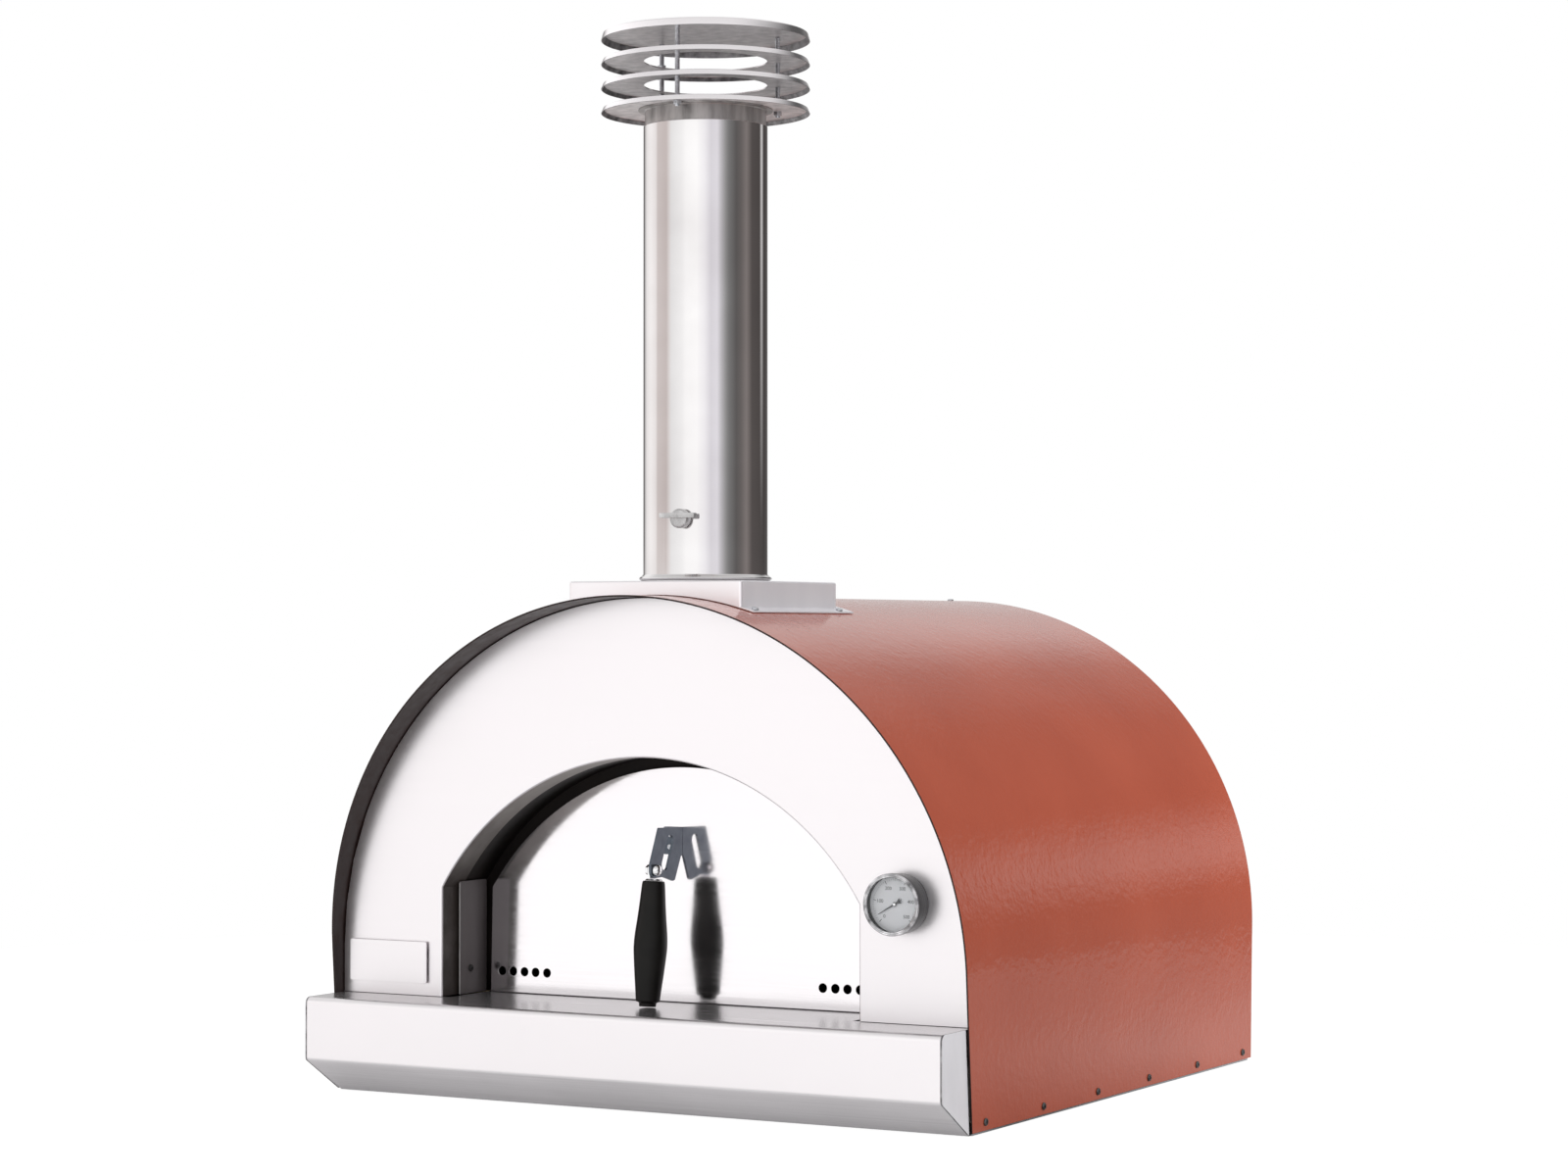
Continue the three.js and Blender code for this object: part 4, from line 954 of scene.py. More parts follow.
def casing():
    outer_vault()
    facade_plate()
    rear_panel()
    front_ledge()
    for side, word in SIDES:
        ledge_end_cap(side, f"ledge_end_cap_{word}")
        shell_rail(side, f"shell_rail_{word}")
    piece("ridge_screw", screw((0, RIDGE_SCREW_Y, VAULT_TOP + GAP), (0, 0, -1), 8), ZINC)
    name_plate()
    dress("base_pan", ZINC, bevel=0.5)


# ---------------------------------------------------------------- mouth and chamber


def mouth_liner():
    """The dark tunnel from the facade to the chamber, with a lip at its back that stops the door."""
    foot, front, back = LEDGE_TOP + 2 * GAP, FACADE_BACK + GAP, LINER_BACK

    def section(share):
        corners = [(SHEET, front), (0, front), (0, back - SHEET)]
        corners += [(-STOP_WIDTH, back - SHEET), (-STOP_WIDTH, back), (SHEET, back)]
        ring = [(mouth_point(share, offset, foot), y) for offset, y in corners]
        return [(x, y, z) for (x, z), y in ring]

    piece("mouth_liner", arch_band(section, mouth_shares()), TUNNEL, bevel=0.3)


def jamb(side, word):
    name = f"jamb_plate_{word}"
    low, high = cad(name)
    outline = rectangle(low.y, low.z, high.y, high.z, 1, 1, 3, 3)
    made = piece(name, prism(outline, low.x, high.x, along_x), JAMB_STEEL, bevel=0.4)
    # painted highlight: the jamb's front faces take the light grey
    second_finish(made, PAINTED_HIGHLIGHT_STEEL, lambda centre, normal: normal.y < -0.5)
    seat = (side * (min(abs(low.x), abs(high.x)) - GAP), *JAMB_SCREW)
    piece(f"jamb_screw_{word}", screw(seat, (side, 0, 0), 9), BLACK_AND_PAINTED_SHADE)


def chamber_outline(offset, foot):
    return vault_outline(offset, foot, half=CHAMBER_HALF, top=CHAMBER_TOP)


def inner_dome():
    low, high = cad("inner_dome")
    outer, inner = chamber_outline(-0.2, low.z), chamber_outline(-SHEET, low.z)
    rings = [
        [(a, low.y, b), (c, low.y, d), (c, high.y, d), (a, high.y, b)]
        for (a, b), (c, d) in zip(outer, inner, strict=True)
    ]
    dome = cut(loft(rings), flue_drill(450, 600, STUB_R + 0.6))
    piece("inner_dome", dome, TUNNEL)


def chamber_wall(name, *openings):
    low, high = cad(name)
    wall = prism(chamber_outline(0, low.z), low.y, high.y, along_y)
    piece(name, cut(wall, *openings), TUNNEL)


def chamber():
    mouth_liner()
    for side, word in SIDES:
        jamb(side, word)
    inner_dome()
    low, high = cad("chamber_front_wall")
    opening = prism(mouth_outline(SHEET + GAP, low.z - 10), low.y - 5, high.y + 5, along_y)
    stem = drill(on_dial(0, 0, low.y - 7), on_dial(0, 0, high.y + 6), 5, 24)
    chamber_wall("chamber_front_wall", opening, stem)
    chamber_wall("chamber_rear_wall")
    for part in ("dome", "front", "rear", "floor"):
        dress(f"{part}_insulation", WOOL)
    dress("hearth_tray", ZINC, bevel=0.4)
    for row in ("front", "rear"):
        for _, word in SIDES:
            dress(f"hearth_tile_{row}_{word}", CLAY, bevel=0.8)


# ---------------------------------------------------------------- flue


def saddle_box():
    """The saddle's shell: rounded corners, its lower edge cut to the vault's curve."""
    straight, parts_of_a_side, ease = 28, 24, 2.5

    def rim(inset, z=None):
        half, corner = SADDLE_HALF - inset, max(4 - inset, 0.8)
        front, back = SADDLE_FRONT + inset, SADDLE_BACK - inset
        corners = [(half, front), (half, back), (-half, back), (-half, front)]
        outline = []
        plan = rounded([(x, y, corner) for x, y in corners], 4)
        for (x0, y0), (x1, y1) in zip(plan, plan[1:] + plan[:1], strict=True):
            parts = parts_of_a_side if math.hypot(x1 - x0, y1 - y0) > straight else 1
            outline += [(x0 + (x1 - x0) * i / parts, y0 + (y1 - y0) * i / parts) for i in range(parts)]
        return [(x, y, vault_height(x) + 2 * GAP if z is None else z) for x, y in outline]

    rings = [rim(SHEET, SADDLE_TOP - SHEET), rim(SHEET), rim(0)]
    for i in range(4):
        angle = math.pi / 2 * i / 3
        rings.append(rim(ease * (1 - math.cos(angle)), SADDLE_TOP - ease + ease * math.sin(angle)))
    return loft(rings)


def draped(xs, ys, keep, low, high):
    """A sheet over the vault, low to high above it, made of the grid cells that keep(x, y) takes."""
    points, faces, seen = [], [], {}

    def corner(i, j, lift):
        key = (i, j, lift)
        if key not in seen:
            seen[key] = len(points)
            points.append(Vector((xs[i], ys[j], vault_height(xs[i]) + lift)))
        return seen[key]

    kept = {
        (i, j)
        for i in range(len(xs) - 1)
        for j in range(len(ys) - 1)
        if keep((xs[i] + xs[i + 1]) / 2, (ys[j] + ys[j + 1]) / 2)
    }
    for i, j in sorted(kept):
        around = [(i, j), (i + 1, j), (i + 1, j + 1), (i, j + 1)]
        for lift in (low, high):
            faces.append(tuple(corner(a, b, lift) for a, b in around))
        for k, step in enumerate([(0, -1), (1, 0), (0, 1), (-1, 0)]):
            if (i + step[0], j + step[1]) not in kept:
                (a, b), (c, d) = around[k], around[(k + 1) % 4]
                faces.append((corner(a, b, low), corner(c, d, low), corner(c, d, high), corner(a, b, high)))
    return points, faces


def saddle_skirt():
    inner, outer = SADDLE_HALF - SHEET, SADDLE_HALF + SADDLE_FLANGE
    xs = [-outer, *[-inner + 2 * inner * i / 40 for i in range(41)], outer]
    ys = [SADDLE_FRONT, SADDLE_BACK - SHEET, SADDLE_BACK + SADDLE_FLANGE]
    edge = SADDLE_BACK - SHEET
    return draped(xs, ys, lambda x, y: abs(x) > inner or y > edge, 2 * GAP, 2 * GAP + SHEET)


def vault_normal(x):
    """The vault's outward direction at x."""
    return Vector((x / VAULT_HALF**2, 0, (vault_height(x) - VAULT_SPRING) / VAULT_RISE**2)).normalized()


def saddle_screw(name, x, y, length, turn):
    outward = vault_normal(x)
    seat = Vector((x, y, vault_height(x))) + outward * (3 * GAP + SHEET)
    piece(name, screw(seat, -outward, length, turn=turn), ZINC)


def saddle():
    shell = cut(saddle_box(), flue_drill(500, 700, STUB_R + 0.8))
    made = piece("flue_saddle", together(shell, saddle_skirt()), PALE_STEEL, bevel=0.4)
    second_finish(made, FRONT_STEEL, lambda centre, normal: normal.y < -0.7)
    places = [(side * SADDLE_SCREW_X, y) for side, _ in SIDES for y in SADDLE_SCREW_Y]
    for index, (x, y) in enumerate(places, 1):
        saddle_screw(f"saddle_screw_{index}", x, y, 5.4, 50 * index)
    for side, word in SIDES:
        saddle_screw(f"saddle_rear_screw_{word}", side * SADDLE_REAR_SCREW_X, SADDLE_BACK + 8, 4, 20)


def on_flue(x, y, z):
    return FLUE + Vector((x, y, z))


def flue_part(name, profile, material, sides=128):
    return piece(name, turned(profile, on_flue, sides), material)


def pipe():
    low, high = cad("flue_collar")
    inner, swell, rise, steps = PIPE_R + 0.4, 4.6, 7.6, 10
    bead = [
        (inner + swell * max(0.12, math.sin(math.pi * i / steps)), low.z + rise * i / steps)
        for i in range(1, steps)
    ]
    profile = [(inner, low.z), (inner + 1.6, low.z), *bead, (inner + 0.5, high.z), (inner, high.z)]
    flue_part("flue_collar", profile, FLUE_STEEL, ROUND)
    low, top, inside = cad("flue_pipe")[0].z, PIPE_TOP, PIPE_R - PIPE_WALL
    profile = [(inside, low), (PIPE_R, low), (PIPE_R, top - 1.2), (PIPE_R - 0.3, top - 0.3)]
    profile += [(PIPE_R - 0.8, top), (inside + 0.3, top - 0.2), (inside, top - 0.8)]
    flue_part("flue_pipe", profile, FLUE_STEEL)
    low, high = cad("flue_stub")
    profile = [(STUB_R - SHEET, low.z), (STUB_R, low.z), (STUB_R, high.z), (STUB_R - SHEET, high.z)]
    flue_part("flue_stub", profile, FLUE_STEEL, ROUND)


def damper():
    turn = Matrix.Translation(FLUE) @ Matrix.Rotation(DAMPER_TURN, 4, "Z")
    bottom, radius, thick, ease = DAMPER_Z + 4 + GAP, 70, 2, 0.5
    rim = [(0, 0), (radius - ease, 0), (radius, ease), (radius, thick - ease)]
    rim += [(radius - ease, thick), (0, thick)]
    disc = turned([(r, bottom + z) for r, z in rim], along_z)
    piece("damper_disc", moved(disc, turn), FLUE_STEEL, "damper")
    shaft = bar((0, PIPE_R + 5, DAMPER_Z), (0, -PIPE_R - 12, DAMPER_Z), 4, 24)
    piece("damper_shaft", moved(shaft, turn), ZINC, "damper")
    profile = [(4.3, 0), (10.5, 0), (11.5, 1), (11.5, 10), (10, 12.4), (8, 13), (0, 13), (0, 12), (4.3, 12)]
    hub = turned(profile, axis_at((0, -PIPE_R - 5, DAMPER_Z), (0, -1, 0)), 48)
    front = -PIPE_R - 18
    outline = rectangle(-22, DAMPER_Z + 0.5, 22, DAMPER_Z + 6.5, 1.2, steps=3)
    handle = moved(together(hub, prism(outline, front - 6, front + 4, along_y)), turn)
    piece("damper_handle", handle, HANDLE_STEEL, "damper", bevel=0.5)


def cap_plate(name, lip_bottom, lip, hole):
    """A flat plate whose rim rolls over into a slanted lip: bright lip, and an underside with a duller
    mottled finish that is painted shade.
    """
    top, rim = lip_bottom + lip, CAP_R - 1.8
    profile = [(hole, top), (rim - 1.6, top), (rim - 0.5, top - 0.45), (rim, top - 1.5)]
    profile += [(CAP_R, lip_bottom + 0.3), (CAP_R - 0.4, lip_bottom), (CAP_R - CAP_SHEET, lip_bottom + 0.2)]
    profile += [(rim - CAP_SHEET, top - CAP_SHEET - 0.6), (rim - CAP_SHEET - 0.8, top - CAP_SHEET)]
    profile += [(hole, top - CAP_SHEET)]
    made = flue_part(name, profile, LIP_STEEL)
    # painted shade: the plate's downward faces take the darker mottle
    second_finish(made, CAP_UNDERSIDE_SHADE, lambda centre, normal: normal.z < -0.7)

    # painted shade: the inward and downward faces inside the rolled lip take the dark grey
    def inner_lip(centre, normal):
        out = Vector((centre.x, centre.y, 0)) - FLUE
        return out.length > CAP_R - 5 and (normal.dot(out.normalized()) < -0.3 or normal.z < -0.3)

    second_finish(made, PAINTED_SHADE_GREY, inner_lip)


def cap_rod(index, degrees):
    """A threaded rod, with one nut under the lowest ring and one on the uppermost."""
    name, angle = f"cap_rod_{index}", math.radians(degrees)
    foot = on_flue(CAP_ROD_CIRCLE * math.cos(angle), CAP_ROD_CIRCLE * math.sin(angle), 0)
    low, high = cad(name)
    piece(name, threaded_rod(foot, low.z, high.z), ZINC)
    under = CAP_FIRST_LIP + CAP_LIP - CAP_SHEET
    over = CAP_FIRST_LIP + 2 * CAP_PITCH + CAP_LIP
    nuts = [
        hex_nut(foot + Vector((0, 0, z)), (0, 0, 1), CAP_NUT_R, CAP_NUT)
        for z in (under - CAP_NUT - 0.1, over + 0.1)
    ]
    piece(f"cap_rod_nuts_{index}", together(*nuts), ZINC, bevel=0.4)


def rain_cap():
    for index, word in enumerate(("lower", "middle", "upper")):
        cap_plate(f"cap_ring_{word}", CAP_FIRST_LIP + CAP_PITCH * index, CAP_LIP, CAP_HOLE_R)
    cap_plate("cap_top_disc", CAP_FIRST_LIP + CAP_PITCH * 3, CAP_TOP_LIP, 0)
    low, high = [corner.z for corner in cad("cap_spigot")]
    outer, rim = PIPE_R - PIPE_WALL - 0.4, 8
    inner = outer - PIPE_WALL
    profile = [(inner, low), (outer, low), (outer, high - 2.6), (outer + 1.2, high - CAP_SHEET)]
    profile += [(outer + rim, high - CAP_SHEET), (outer + rim, high), (inner, high)]
    flue_part("cap_spigot", profile, SPIGOT_STEEL)
    for index, degrees in enumerate(CAP_ROD_ANGLES, 1):
        cap_rod(index, degrees)


def threaded_rod(foot, low, high):
    """A rod with a shallow thread, drawn as rings."""
    pitch, deep = 1.25, 0.3
    profile = [(0, low), (CAP_ROD_R - deep, low)]
    for i in range(int((high - low - 1) / pitch)):
        z = low + 0.5 + i * pitch
        profile += [(CAP_ROD_R, z + pitch * 0.35), (CAP_ROD_R - deep, z + pitch * 0.85)]
    profile += [(CAP_ROD_R - deep, high), (0, high)]
    return turned(profile, lambda a, b, z: foot + Vector((a, b, z)), 16)


def flue():
    saddle()
    pipe()
    damper()
    rain_cap()


# ---------------------------------------------------------------- thermometer


def on_dial(a, b, depth):
    return DIAL + Vector((a, depth, b))


def dial_mark(angle, inner, outer, width, front, back):
    """A bar on the dial from radius inner to outer, at an angle anticlockwise from +X."""
    turn = Matrix.Rotation(-math.radians(angle), 4, "Y")
    mark = box((inner, front, -width / 2), (outer, back, width / 2))
    return moved(mark, Matrix.Translation(DIAL) @ turn)


def dial_print():
    """Scale lines and plain numbers from 0 to 500 in steps of 100, clockwise from the lower left."""
    front, back = -6.12, -6.02
    first, sweep, parts = 225, 270, 50
    rim, short, middling, long = 28.6, 27, 26.2, 24.6
    number_circle, letter_height = 19.6, 5.6
    marks = []
    for i in range(parts + 1):
        long_line = i % 10 == 0
        inner = long if long_line else (middling if i % 5 == 0 else short)
        width = 0.55 if long_line else 0.28
        marks.append(dial_mark(first - sweep * i / parts, inner, rim, width, front, back))
    piece("dial_scale", together(*marks), PRINT)
    for i in range(6):
        angle = math.radians(first - sweep * i / 5)
        text = bpy.data.curves.new("number", "FONT")
        text.body, text.size, text.extrude = str(100 * i), letter_height * MM, 0.05 * MM
        text.align_x, text.align_y = "CENTER", "CENTER"
        letters = in_scene("number", text)
        number = as_shown(letters)
        bpy.data.objects.remove(letters)
        place = on_dial(number_circle * math.cos(angle), number_circle * math.sin(angle), front + 0.05)
        upright = Matrix.Translation(place) @ Matrix.Rotation(math.pi / 2, 4, "X") @ Matrix.Scale(1 / MM, 4)
        piece(f"dial_number_{100 * i}", moved(number, upright), PRINT)


def dial_part(name, profile, material):
    return piece(name, turned(profile, on_dial), material)


def thermometer():
    back, front, wide = FACADE_FRONT - GAP, CASE_FRONT, CASE_R - 1.5
    profile = [(4.5, back - 1.5), (wide, back - 1.5), (wide, front), (CASE_R, front)]
    profile += [(CASE_R, back - 0.6), (CASE_R - 0.6, back), (4.5, back)]
    dial_part("thermometer_case", profile, CASE_STEEL)
    inner, outer, seat = CASE_R - 3.5, BEZEL_R, CASE_R + GAP
    profile = [(inner, front - 0.3), (inner, front - 1.2), (inner + 0.5, front - 1.9)]
    profile += [(inner + 1.6, front - 2.2), (inner + 2.3, front - 1.7), (inner + 2.9, front - 1.9)]
    profile += [(outer - 1.2, front - 1.9), (outer - 0.4, front - 1.4), (outer, front - 0.4)]
    profile += [(outer, front + 5.4), (outer - 0.4, front + 6), (seat, front + 6), (seat, front - 0.3)]
    made = dial_part("thermometer_bezel", profile, BEZEL_STEEL)
    second_finish(made, CASE_STEEL, lambda centre, normal: centre.y > front and abs(normal.y) < 0.3)
    wide = CASE_R - 1.8
    profile = [(0, front + 0.05), (wide, front + 0.05), (wide, front + 1.95), (0, front + 1.95)]
    dial_part("thermometer_glass", profile, GLASS)
    wide = CASE_R - 2
    dial_part("thermometer_dial", [(1.6, -6), (wide, -6), (wide, -5), (1.6, -5)], DIAL_FACE)
    dial_print()
    pointer()
    dress("thermometer_stem", ZINC)
    dress("thermometer_nut", ZINC, bevel=0.4)


def pointer():
    """A tapered needle with a broad arrow-shaped counterweight, pinned by a bright hub."""
    needle = [(0, -0.9), (23.5, -0.3), (23.5, 0.3), (0, 0.9)]
    tail = [(0, 0.7), (-4, 1.1), (-8.6, 3.3), (-8.2, 0.6), (-10.6, -0.2)]
    tail += [(-8.2, -1), (-8.6, -3.3), (-4, -1.1), (0, -0.7)]
    turn = Matrix.Translation(DIAL) @ Matrix.Rotation(-math.radians(POINTER_REST), 4, "Y")
    flat = together(*[prism(outline, -9, -8.4, along_y) for outline in (needle, tail)])
    pin = bar(on_dial(0, 0, -8.8), on_dial(0, 0, -4.3), 1, 16, 0.1)
    piece("thermometer_pointer", together(moved(flat, turn), pin), PRINT, "pointer")
    hub = turned([(0, -9.4), (1.6, -9.2), (2.5, -8.5), (2.5, -8.3), (0, -8.3)], on_dial, 32)
    piece("pointer_hub", hub, POLISHED, "pointer")


# ---------------------------------------------------------------- door


def leaned(solid):
    """Leans a solid back with the door, about the door's lower front edge."""
    edge = Vector((0, DOOR_FRONT, DOOR_BOTTOM))
    turn = Matrix.Rotation(-DOOR_LEAN, 4, "X")
    return moved(solid, Matrix.Translation(edge) @ turn @ Matrix.Translation(-edge))


def door_plate():
    def outline(offset):
        corners = mouth_outline(-DOOR_INSET + offset, DOOR_BOTTOM - offset)
        return [(x + DOOR_SHIFT, z) for x, z in corners]

    steps = [(-SHEET, DOOR_FRONT + SHEET), (-SHEET, DOOR_BACK), (0, DOOR_BACK), (0, DOOR_FRONT + 1.2)]
    steps += [(-0.35, DOOR_FRONT + 0.35), (-1.2, DOOR_FRONT)]
    pan = loft([[(x, y, z) for x, z in outline(offset)] for offset, y in steps])
    holes = []
    for x in AIR_HOLES_X:
        for side in (-1, 1):
            at = Vector((side * x + DOOR_SHIFT, DOOR_FRONT, AIR_HOLE_Z))
            holes.append(drill(at - Vector((0, 5, 0)), at + Vector((0, 9, 0)), AIR_HOLE_R))
    solid = leaned(cut(pan, together(*holes)))
    made = piece("door_plate", solid, DOOR_STEEL, "door", bevel=0.25)
    # painted shade: the door's back and edges take the near-black brown, a dark shadow line round the door
    second_finish(made, PAINTED_SHADE_BROWN, lambda centre, normal: normal.y > -0.5)


def on_bracket(out, up):
    """(y, z) of a point of the bracket's side view, before the door leans."""
    return DOOR_FRONT - out, DOOR_BOTTOM + up


def bracket_outline():
    bolt = on_bracket(*BRACKET_BOLT)
    top = [(0.3, 208, 0.4), (53.8, 208, 2), (71.8, 166, 6)]
    under = [(43.5, 150, 2), (20.6, 144.6, 2), (16.5, 146.1, 1.5), (3.5, 173.5, 1.5), (0.3, 175, 0.4)]
    corners = [(*on_bracket(out, up), radius) for out, up, radius in top]
    corners += [(y, z, 0) for y, z in arc(bolt, 9.4, 175, 270, 10)]
    return rounded(corners + [(*on_bracket(out, up), radius) for out, up, radius in under])


def door_bracket():
    slot_r = 7.2
    high, low = Vector(on_bracket(28.8, 192.3)), Vector(on_bracket(40.3, 164.6))
    tilt = math.degrees(math.atan2(high.y - low.y, high.x - low.x))
    slot = arc(high, slot_r, tilt + 90, tilt - 90, 12) + arc(low, slot_r, tilt - 90, tilt - 270, 12)
    bolt_hole = arc(on_bracket(*BRACKET_BOLT), 3.4, 0, 345, 23)
    plate = prism(bracket_outline(), -1.5, 1.5, along_x, [slot, bolt_hole])
    back, low, high = DOOR_FRONT - GAP, DOOR_BOTTOM + 175, DOOR_BOTTOM + 208
    foot = prism(rectangle(-BRACKET_FLANGE, low, 0.5, high, 3, 0.3, 0.3, 3), back - 3, back, along_y)
    solid = leaned(join(plate, foot))
    piece("door_bracket", solid, BRACKET_STEEL, "door", bevel=0.4)
    for index, up in enumerate((184, 199)):
        seat = (-14, back - 3, DOOR_BOTTOM + up)
        head = leaned(screw(seat, (0, 1, 0), 2.5, 0.8))
        piece(f"bracket_screw_{index + 1}", head, ZINC, "door")


GRIP_TOP = Vector((-1.5, 34.6, 264.8))
GRIP_FOOT = Vector((-1.5, 20.5, 117))
GRIP_LENGTH = 146.8


def grip():
    on_grip = axis_at(GRIP_FOOT, GRIP_TOP - GRIP_FOOT)
    girth = [(10, 0.6), (10.1, 4.8), (13.9, 5.8), (14.3, 7), (14.8, 14), (17, 35), (18.6, 52), (19.8, 66)]
    girth += [(19.8, 74), (19.2, 85), (17.4, 100), (15.8, 116), (14.5, 132), (13.5, 145), (12.2, GRIP_LENGTH)]
    profile = [(0, 0), (9.4, 0), *smoothed(girth), (0, GRIP_LENGTH)]
    piece("handle_grip", turned(profile, on_grip, 64), GRIP, "door", crease=50)
    ferrule()


def bolt_place():
    """(y, z) of the handle bolt, carried back with the leaning door."""
    y, z = on_bracket(*BRACKET_BOLT)
    (place,), _ = leaned(([Vector((0, y, z))], []))
    return place.y, place.z


def ferrule():
    on_grip = axis_at(GRIP_FOOT, GRIP_TOP - GRIP_FOOT)
    y, z = bolt_place()
    low, high = GRIP_LENGTH + GAP, GRIP_LENGTH + GAP + 2.4
    profile = [(0, low), (10.2, low), (10.5, low + 0.4), (9.4, high - 0.6), (8.4, high), (0, high)]
    collar = turned(profile, on_grip, 48)
    foot = GRIP_TOP.z - 0.6
    tang = prism(rectangle(y - 6, foot, y + 7, z + 6, 0.5, 0.5, 5, 5), -5.5, -1.9, along_x)
    notch = box((-1.8, 0, z - 9.9), (20, 60, z + 30))
    solid = cut(join(collar, tang), notch, drill((-9, y, z), (5, y, z), 3.4))
    piece("handle_ferrule", solid, POLISHED, "door", bevel=0.3)
    shank = bar((-8, y, z), (4, y, z), 3, 24)
    profile = [(0, 0), (6.6, 0), (7, 0.4), (7, 2.4), (6.6, 4.2), (5.6, 5.8), (4.1, 6.9), (2.2, 7.5), (0, 7.6)]
    dome = turned(profile, axis_at((1.9, y, z), (1, 0, 0)), 48)
    nut = hex_nut((-8.8, y, z), (1, 0, 0), 6.5, 2.9)
    piece("handle_bolt", together(shank, dome, nut), POLISHED, "door", bevel=0.3)


def smoothed(profile, passes=2):
    """The profile with its corners cut, by Chaikin's rule, keeping its ends."""
    for _ in range(passes):
        finer = [profile[0]]
        for (a, b), (c, d) in zip(profile, profile[1:], strict=False):
            finer += [(a * 0.75 + c * 0.25, b * 0.75 + d * 0.25), (a * 0.25 + c * 0.75, b * 0.25 + d * 0.75)]
        profile = [*finer, profile[-1]]
    return profile


def door():
    door_plate()
    door_bracket()
    grip()


# ---------------------------------------------------------------- studio


# Studio light by direction, as (azimuth in degrees, brightness, warmth): 0 is straight out of the
# mouth, 90 to the oven's right, 180 behind it. MIDDLE is what the flue mirrors, LOW what the front
# mirrors and HIGH what the vault's shoulder mirrors.
MIDDLE = [
    (-180, 0.09, 0.6), (-152, 0.09, 0.6), (-128, 0.12, 0.4), (-118, 0.66, 0.2),
    (-108, 0.98, 0.2), (-92, 1.10, 0.2), (-80, 1.02, 0.3), (-74, 0.95, 0.4),
    (-70, 0.70, 0.8), (-47, 0.63, 1.0), (-41, 0.84, 0.5), (-36, 0.98, 0.0),
    (-14, 1.12, 0.0), (-6, 1.22, 0.0), (14, 1.25, 0.0), (29, 1.10, -0.5),
    (40, 0.87, -1.0), (52, 0.93, -1.0), (60, 0.60, -0.8), (68, 0.36, 0.0),
    (74, 0.24, 0.0), (89, 0.13, 0.4), (100, 0.16, 0.8), (112, 0.24, 1.0),
    (126, 0.10, 1.0), (152, 0.08, 1.0), (169, 0.065, 0.8), (180, 0.09, 0.6),
]
LOW = [
    (-180, 0.12, 0.5), (-152, 0.12, 0.5), (-149, 0.6, 0.2), (-90, 0.95, 0.0),
    (-50, 1.07, 0.0), (-25, 1.09, 0.0), (0, 1.2, 0.0), (29, 1.05, -0.3),
    (52, 0.85, -0.8), (70, 0.35, 0.0), (89, 0.15, 0.4), (112, 0.22, 1.0),
    (130, 0.12, 0.8), (180, 0.12, 0.5),
]
HIGH = [
    (-180, 0.22, 0.0), (-174, 0.28, 0.0), (-165, 0.74, 0.0), (-120, 1.1, 0.0),
    (60, 1.0, 0.0), (100, 0.35, 0.0), (150, 0.08, 0.0), (174, 0.10, 0.0),
    (180, 0.22, 0.0),
]
# how much of each height, as the sine of its elevation, MIDDLE takes from LOW, HIGH from MIDDLE and
# the overhead light from HIGH
RISE = [(-0.005, 0.0), (0.02, 1.0)]
SHOULDER = [(0.24, 0.0), (0.3, 1.0)]
OVERHEAD = [(0.45, 0.0), (0.65, 1.0)]
OVERHEAD_LEVEL = 0.75
# two dimly lit strips low behind the oven: the vault's side mirrors the first, its ridge the second
GLOW = [(0.03, 0.0), (0.1, 0.8), (0.13, 1.0), (0.17, 0.8), (0.26, 0.0)]
GLOW_AROUND = [(-180, 0.0), (151.5, 0.0), (155, 1.0), (160, 1.0), (166, 0.0), (180, 0.0)]
RIDGE_GLOW = [(-0.01, 0.0), (0.01, 1.0), (0.15, 1.0), (0.3, 0.8), (0.4, 0.0)]
RIDGE_AROUND = [(-180, 0.0), (-168, 0.0), (-160, 1.0), (-142, 1.0), (-134, 0.0), (180, 0.0)]
GLOW_LEVEL = 0.6
# what the floor gives off to the camera, and to the sheets that mirror it, from front to back as
# (metres along Y, level), fading between the two distances on the oven's right. What the sheets mirror
# is painted light, with a painted contact shadow where it drops to nothing under the oven's front
FLOOR_GLOW = 0.9
FLOOR_SEEN = [(-2.6, 0.72), (-0.55, 0.72), (-0.3, 0.0), (-0.1, 0.06), (0.5, 0.42), (2.6, 0.42)]
FLOOR_BESIDE = (0.62, 0.9)
FLOOR_BESIDE_LEVEL = 0.15
FLOOR_RADIUS = 2.3
# fitted to the photograph: place in metres, angles in degrees, lens in millimetres
CAMERA_PLACE = (2.19047, -3.97166, 0.55695)
CAMERA_AZIMUTH = 29.1287
CAMERA_PITCH = 0.7268
CAMERA_LENS = 82.53


def by_azimuth(stops):
    """Ramp stops from (azimuth, level) or (azimuth, level, warmth)."""
    found = []
    for degrees, level, *warmth in stops:
        warm = warmth[0] if warmth else 0.0
        red = 1 + (0.12 * warm if warm > 0 else -0.02 * warm)
        blue = 1 - (0.03 * warm if warm > 0 else 0.06 * warm)
        found.append(((degrees + 180) / 360, (level * red, level, level * blue)))
    return found


def by_height(stops):
    return [((height + 1) / 2, grey(level)) for height, level in stops]


def ramp(tree, socket, stops):
    """A ramp through (place, colour) stops."""
    node = add_node(tree, "ShaderNodeValToRGB")
    elements = node.color_ramp.elements
    while len(elements) > 1:
        elements.remove(elements[-1])
    elements[0].position, elements[0].color = stops[0][0], (*stops[0][1], 1)
    for place, colour in stops[1:]:
        elements.new(place).color = (*colour, 1)
    tree.links.new(socket, node.inputs["Fac"])
    return node.outputs["Color"]


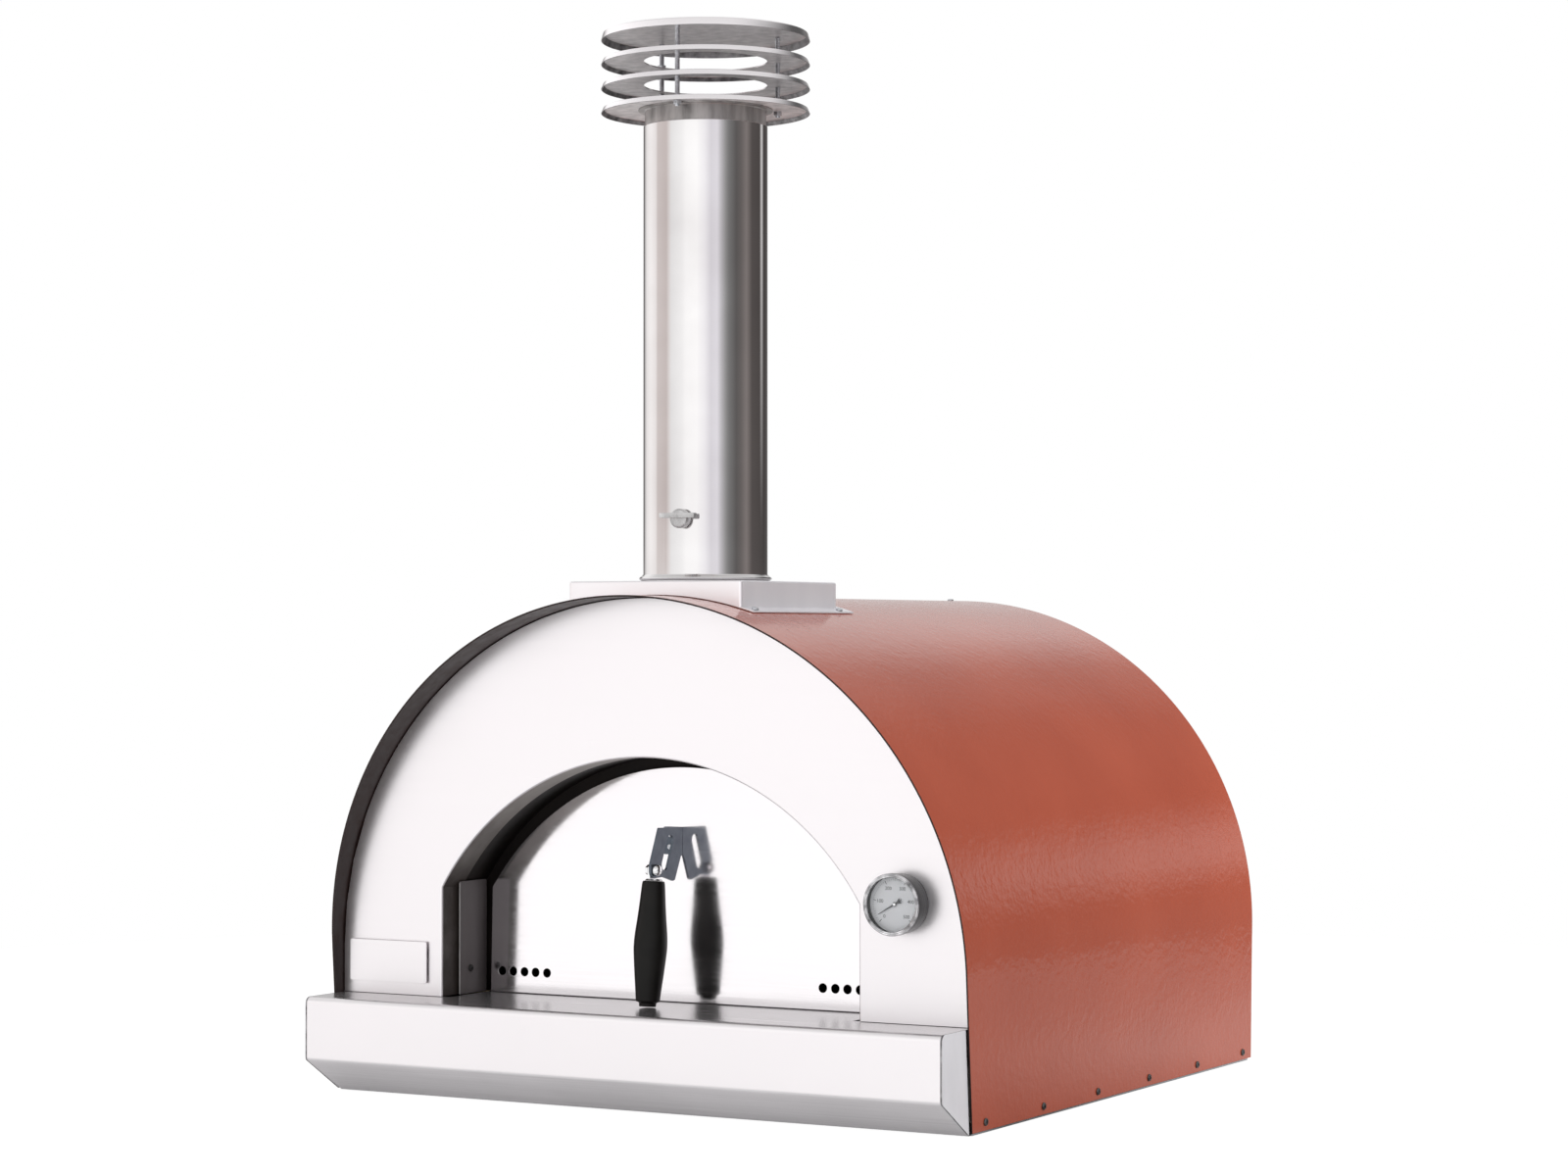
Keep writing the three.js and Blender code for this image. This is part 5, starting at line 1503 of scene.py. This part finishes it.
def studio_world():
    """Soft light on a white cove, brighter in front than behind, shown white to the camera."""
    world = bpy.data.worlds.new("studio")
    bpy.context.scene.world = world
    world.use_nodes = True
    tree = world.node_tree
    towards = axes(tree, "ShaderNodeTexCoord", "Generated")
    azimuth = calculated(tree, "ARCTAN2", towards["X"], calculated(tree, "MULTIPLY", towards["Y"], -1))
    around = ranged(tree, azimuth, 0, 1, -math.pi, math.pi)
    height = ranged(tree, towards["Z"], 0, 1, -1, 1)
    low, middle, high = [ramp(tree, around, by_azimuth(stops)) for stops in (LOW, MIDDLE, HIGH)]
    sky = blended(tree, ramp(tree, height, by_height(RISE)), low, middle)
    for heights, directions in ((GLOW, GLOW_AROUND), (RIDGE_GLOW, RIDGE_AROUND)):
        strip = ramp(tree, height, by_height(heights))
        glow = blended(tree, 1.0, strip, ramp(tree, around, by_azimuth(directions)), "MULTIPLY")
        sky = blended(tree, GLOW_LEVEL, sky, glow, "ADD")
    sky = blended(tree, ramp(tree, height, by_height(SHOULDER)), sky, high)
    sky = blended(tree, ramp(tree, height, by_height(OVERHEAD)), sky, grey(OVERHEAD_LEVEL))
    seen = add_node(tree, "ShaderNodeLightPath")
    shown = blended(tree, seen.outputs["Is Camera Ray"], sky, grey(1))
    tree.links.new(shown, tree.nodes["Background"].inputs["Color"])


def area_light(name, place, target, size, watts):
    """A square light that the camera doesn't see and the oven doesn't mirror."""
    data = bpy.data.lights.new(name, "AREA")
    data.shape, data.size, data.energy = "SQUARE", size, watts
    made = in_scene(name, data)
    made.location = place
    made.rotation_euler = (Vector(target) - Vector(place)).to_track_quat("-Z", "Y").to_euler()
    made.visible_glossy = False
    made.visible_camera = False


def floor_material():
    material, tree, shader = new_material("pale_floor", roughness=0.9, emission_color=(1, 1, 1, 1))
    tint(tree, shader, noise(tree, 2.0, detail=2.0), grey(0.19), grey(0.21))
    place = axes(tree, "ShaderNodeNewGeometry", "Position")
    along = ranged(tree, place["Y"], 0, 1, -FLOOR_RADIUS, FLOOR_RADIUS)
    stops = [(0.5 + y / (2 * FLOOR_RADIUS), grey(level)) for y, level in FLOOR_SEEN]
    beside = ranged(tree, place["X"], 1.0, FLOOR_BESIDE_LEVEL, *FLOOR_BESIDE)
    mirrored = blended(tree, 1.0, ramp(tree, along, stops), beside, "MULTIPLY")
    seen = add_node(tree, "ShaderNodeLightPath")
    glow = blended(tree, seen.outputs["Is Camera Ray"], mirrored, grey(FLOOR_GLOW))
    tree.links.new(glow, shader.inputs["Emission Strength"])
    return material


def pale_floor():
    """A round pale floor, lit a little from within so that it meets the white cove. What the oven
    mirrors of it is bright in front and dimmer beside and behind it."""
    sides, depth = 96, 0.0005
    mesh = bpy.data.meshes.new("floor")
    rim = [2 * math.pi * i / sides for i in range(sides)]
    points = [(FLOOR_RADIUS * math.cos(angle), FLOOR_RADIUS * math.sin(angle), -depth) for angle in rim]
    mesh.from_pydata(points, [], [tuple(range(sides))])
    mesh.materials.append(floor_material())
    in_scene("floor", mesh)


def camera():
    azimuth, pitch = math.radians(CAMERA_AZIMUTH), math.radians(CAMERA_PITCH)
    data = bpy.data.cameras.new("camera")
    data.sensor_width, data.lens = 36, CAMERA_LENS
    ahead = Vector(
        (-math.sin(azimuth) * math.cos(pitch), math.cos(azimuth) * math.cos(pitch), math.sin(pitch))
    )
    made = in_scene("camera", data)
    made.location = CAMERA_PLACE
    made.rotation_euler = ahead.to_track_quat("-Z", "Y").to_euler()
    bpy.context.scene.camera = made


def studio():
    studio_world()
    pale_floor()
    area_light("top_softbox", (0.3, 0.2, 3.2), (0, 0, 0.5), 2.4, 28)
    area_light("right_fill", (2.9, 2.0, 0.8), (0.4, 0.1, 0.35), 2.0, 117)
    bpy.context.scene.view_settings.view_transform = "Standard"
    camera()


casing()
chamber()
flue()
thermometer()
door()
studio()
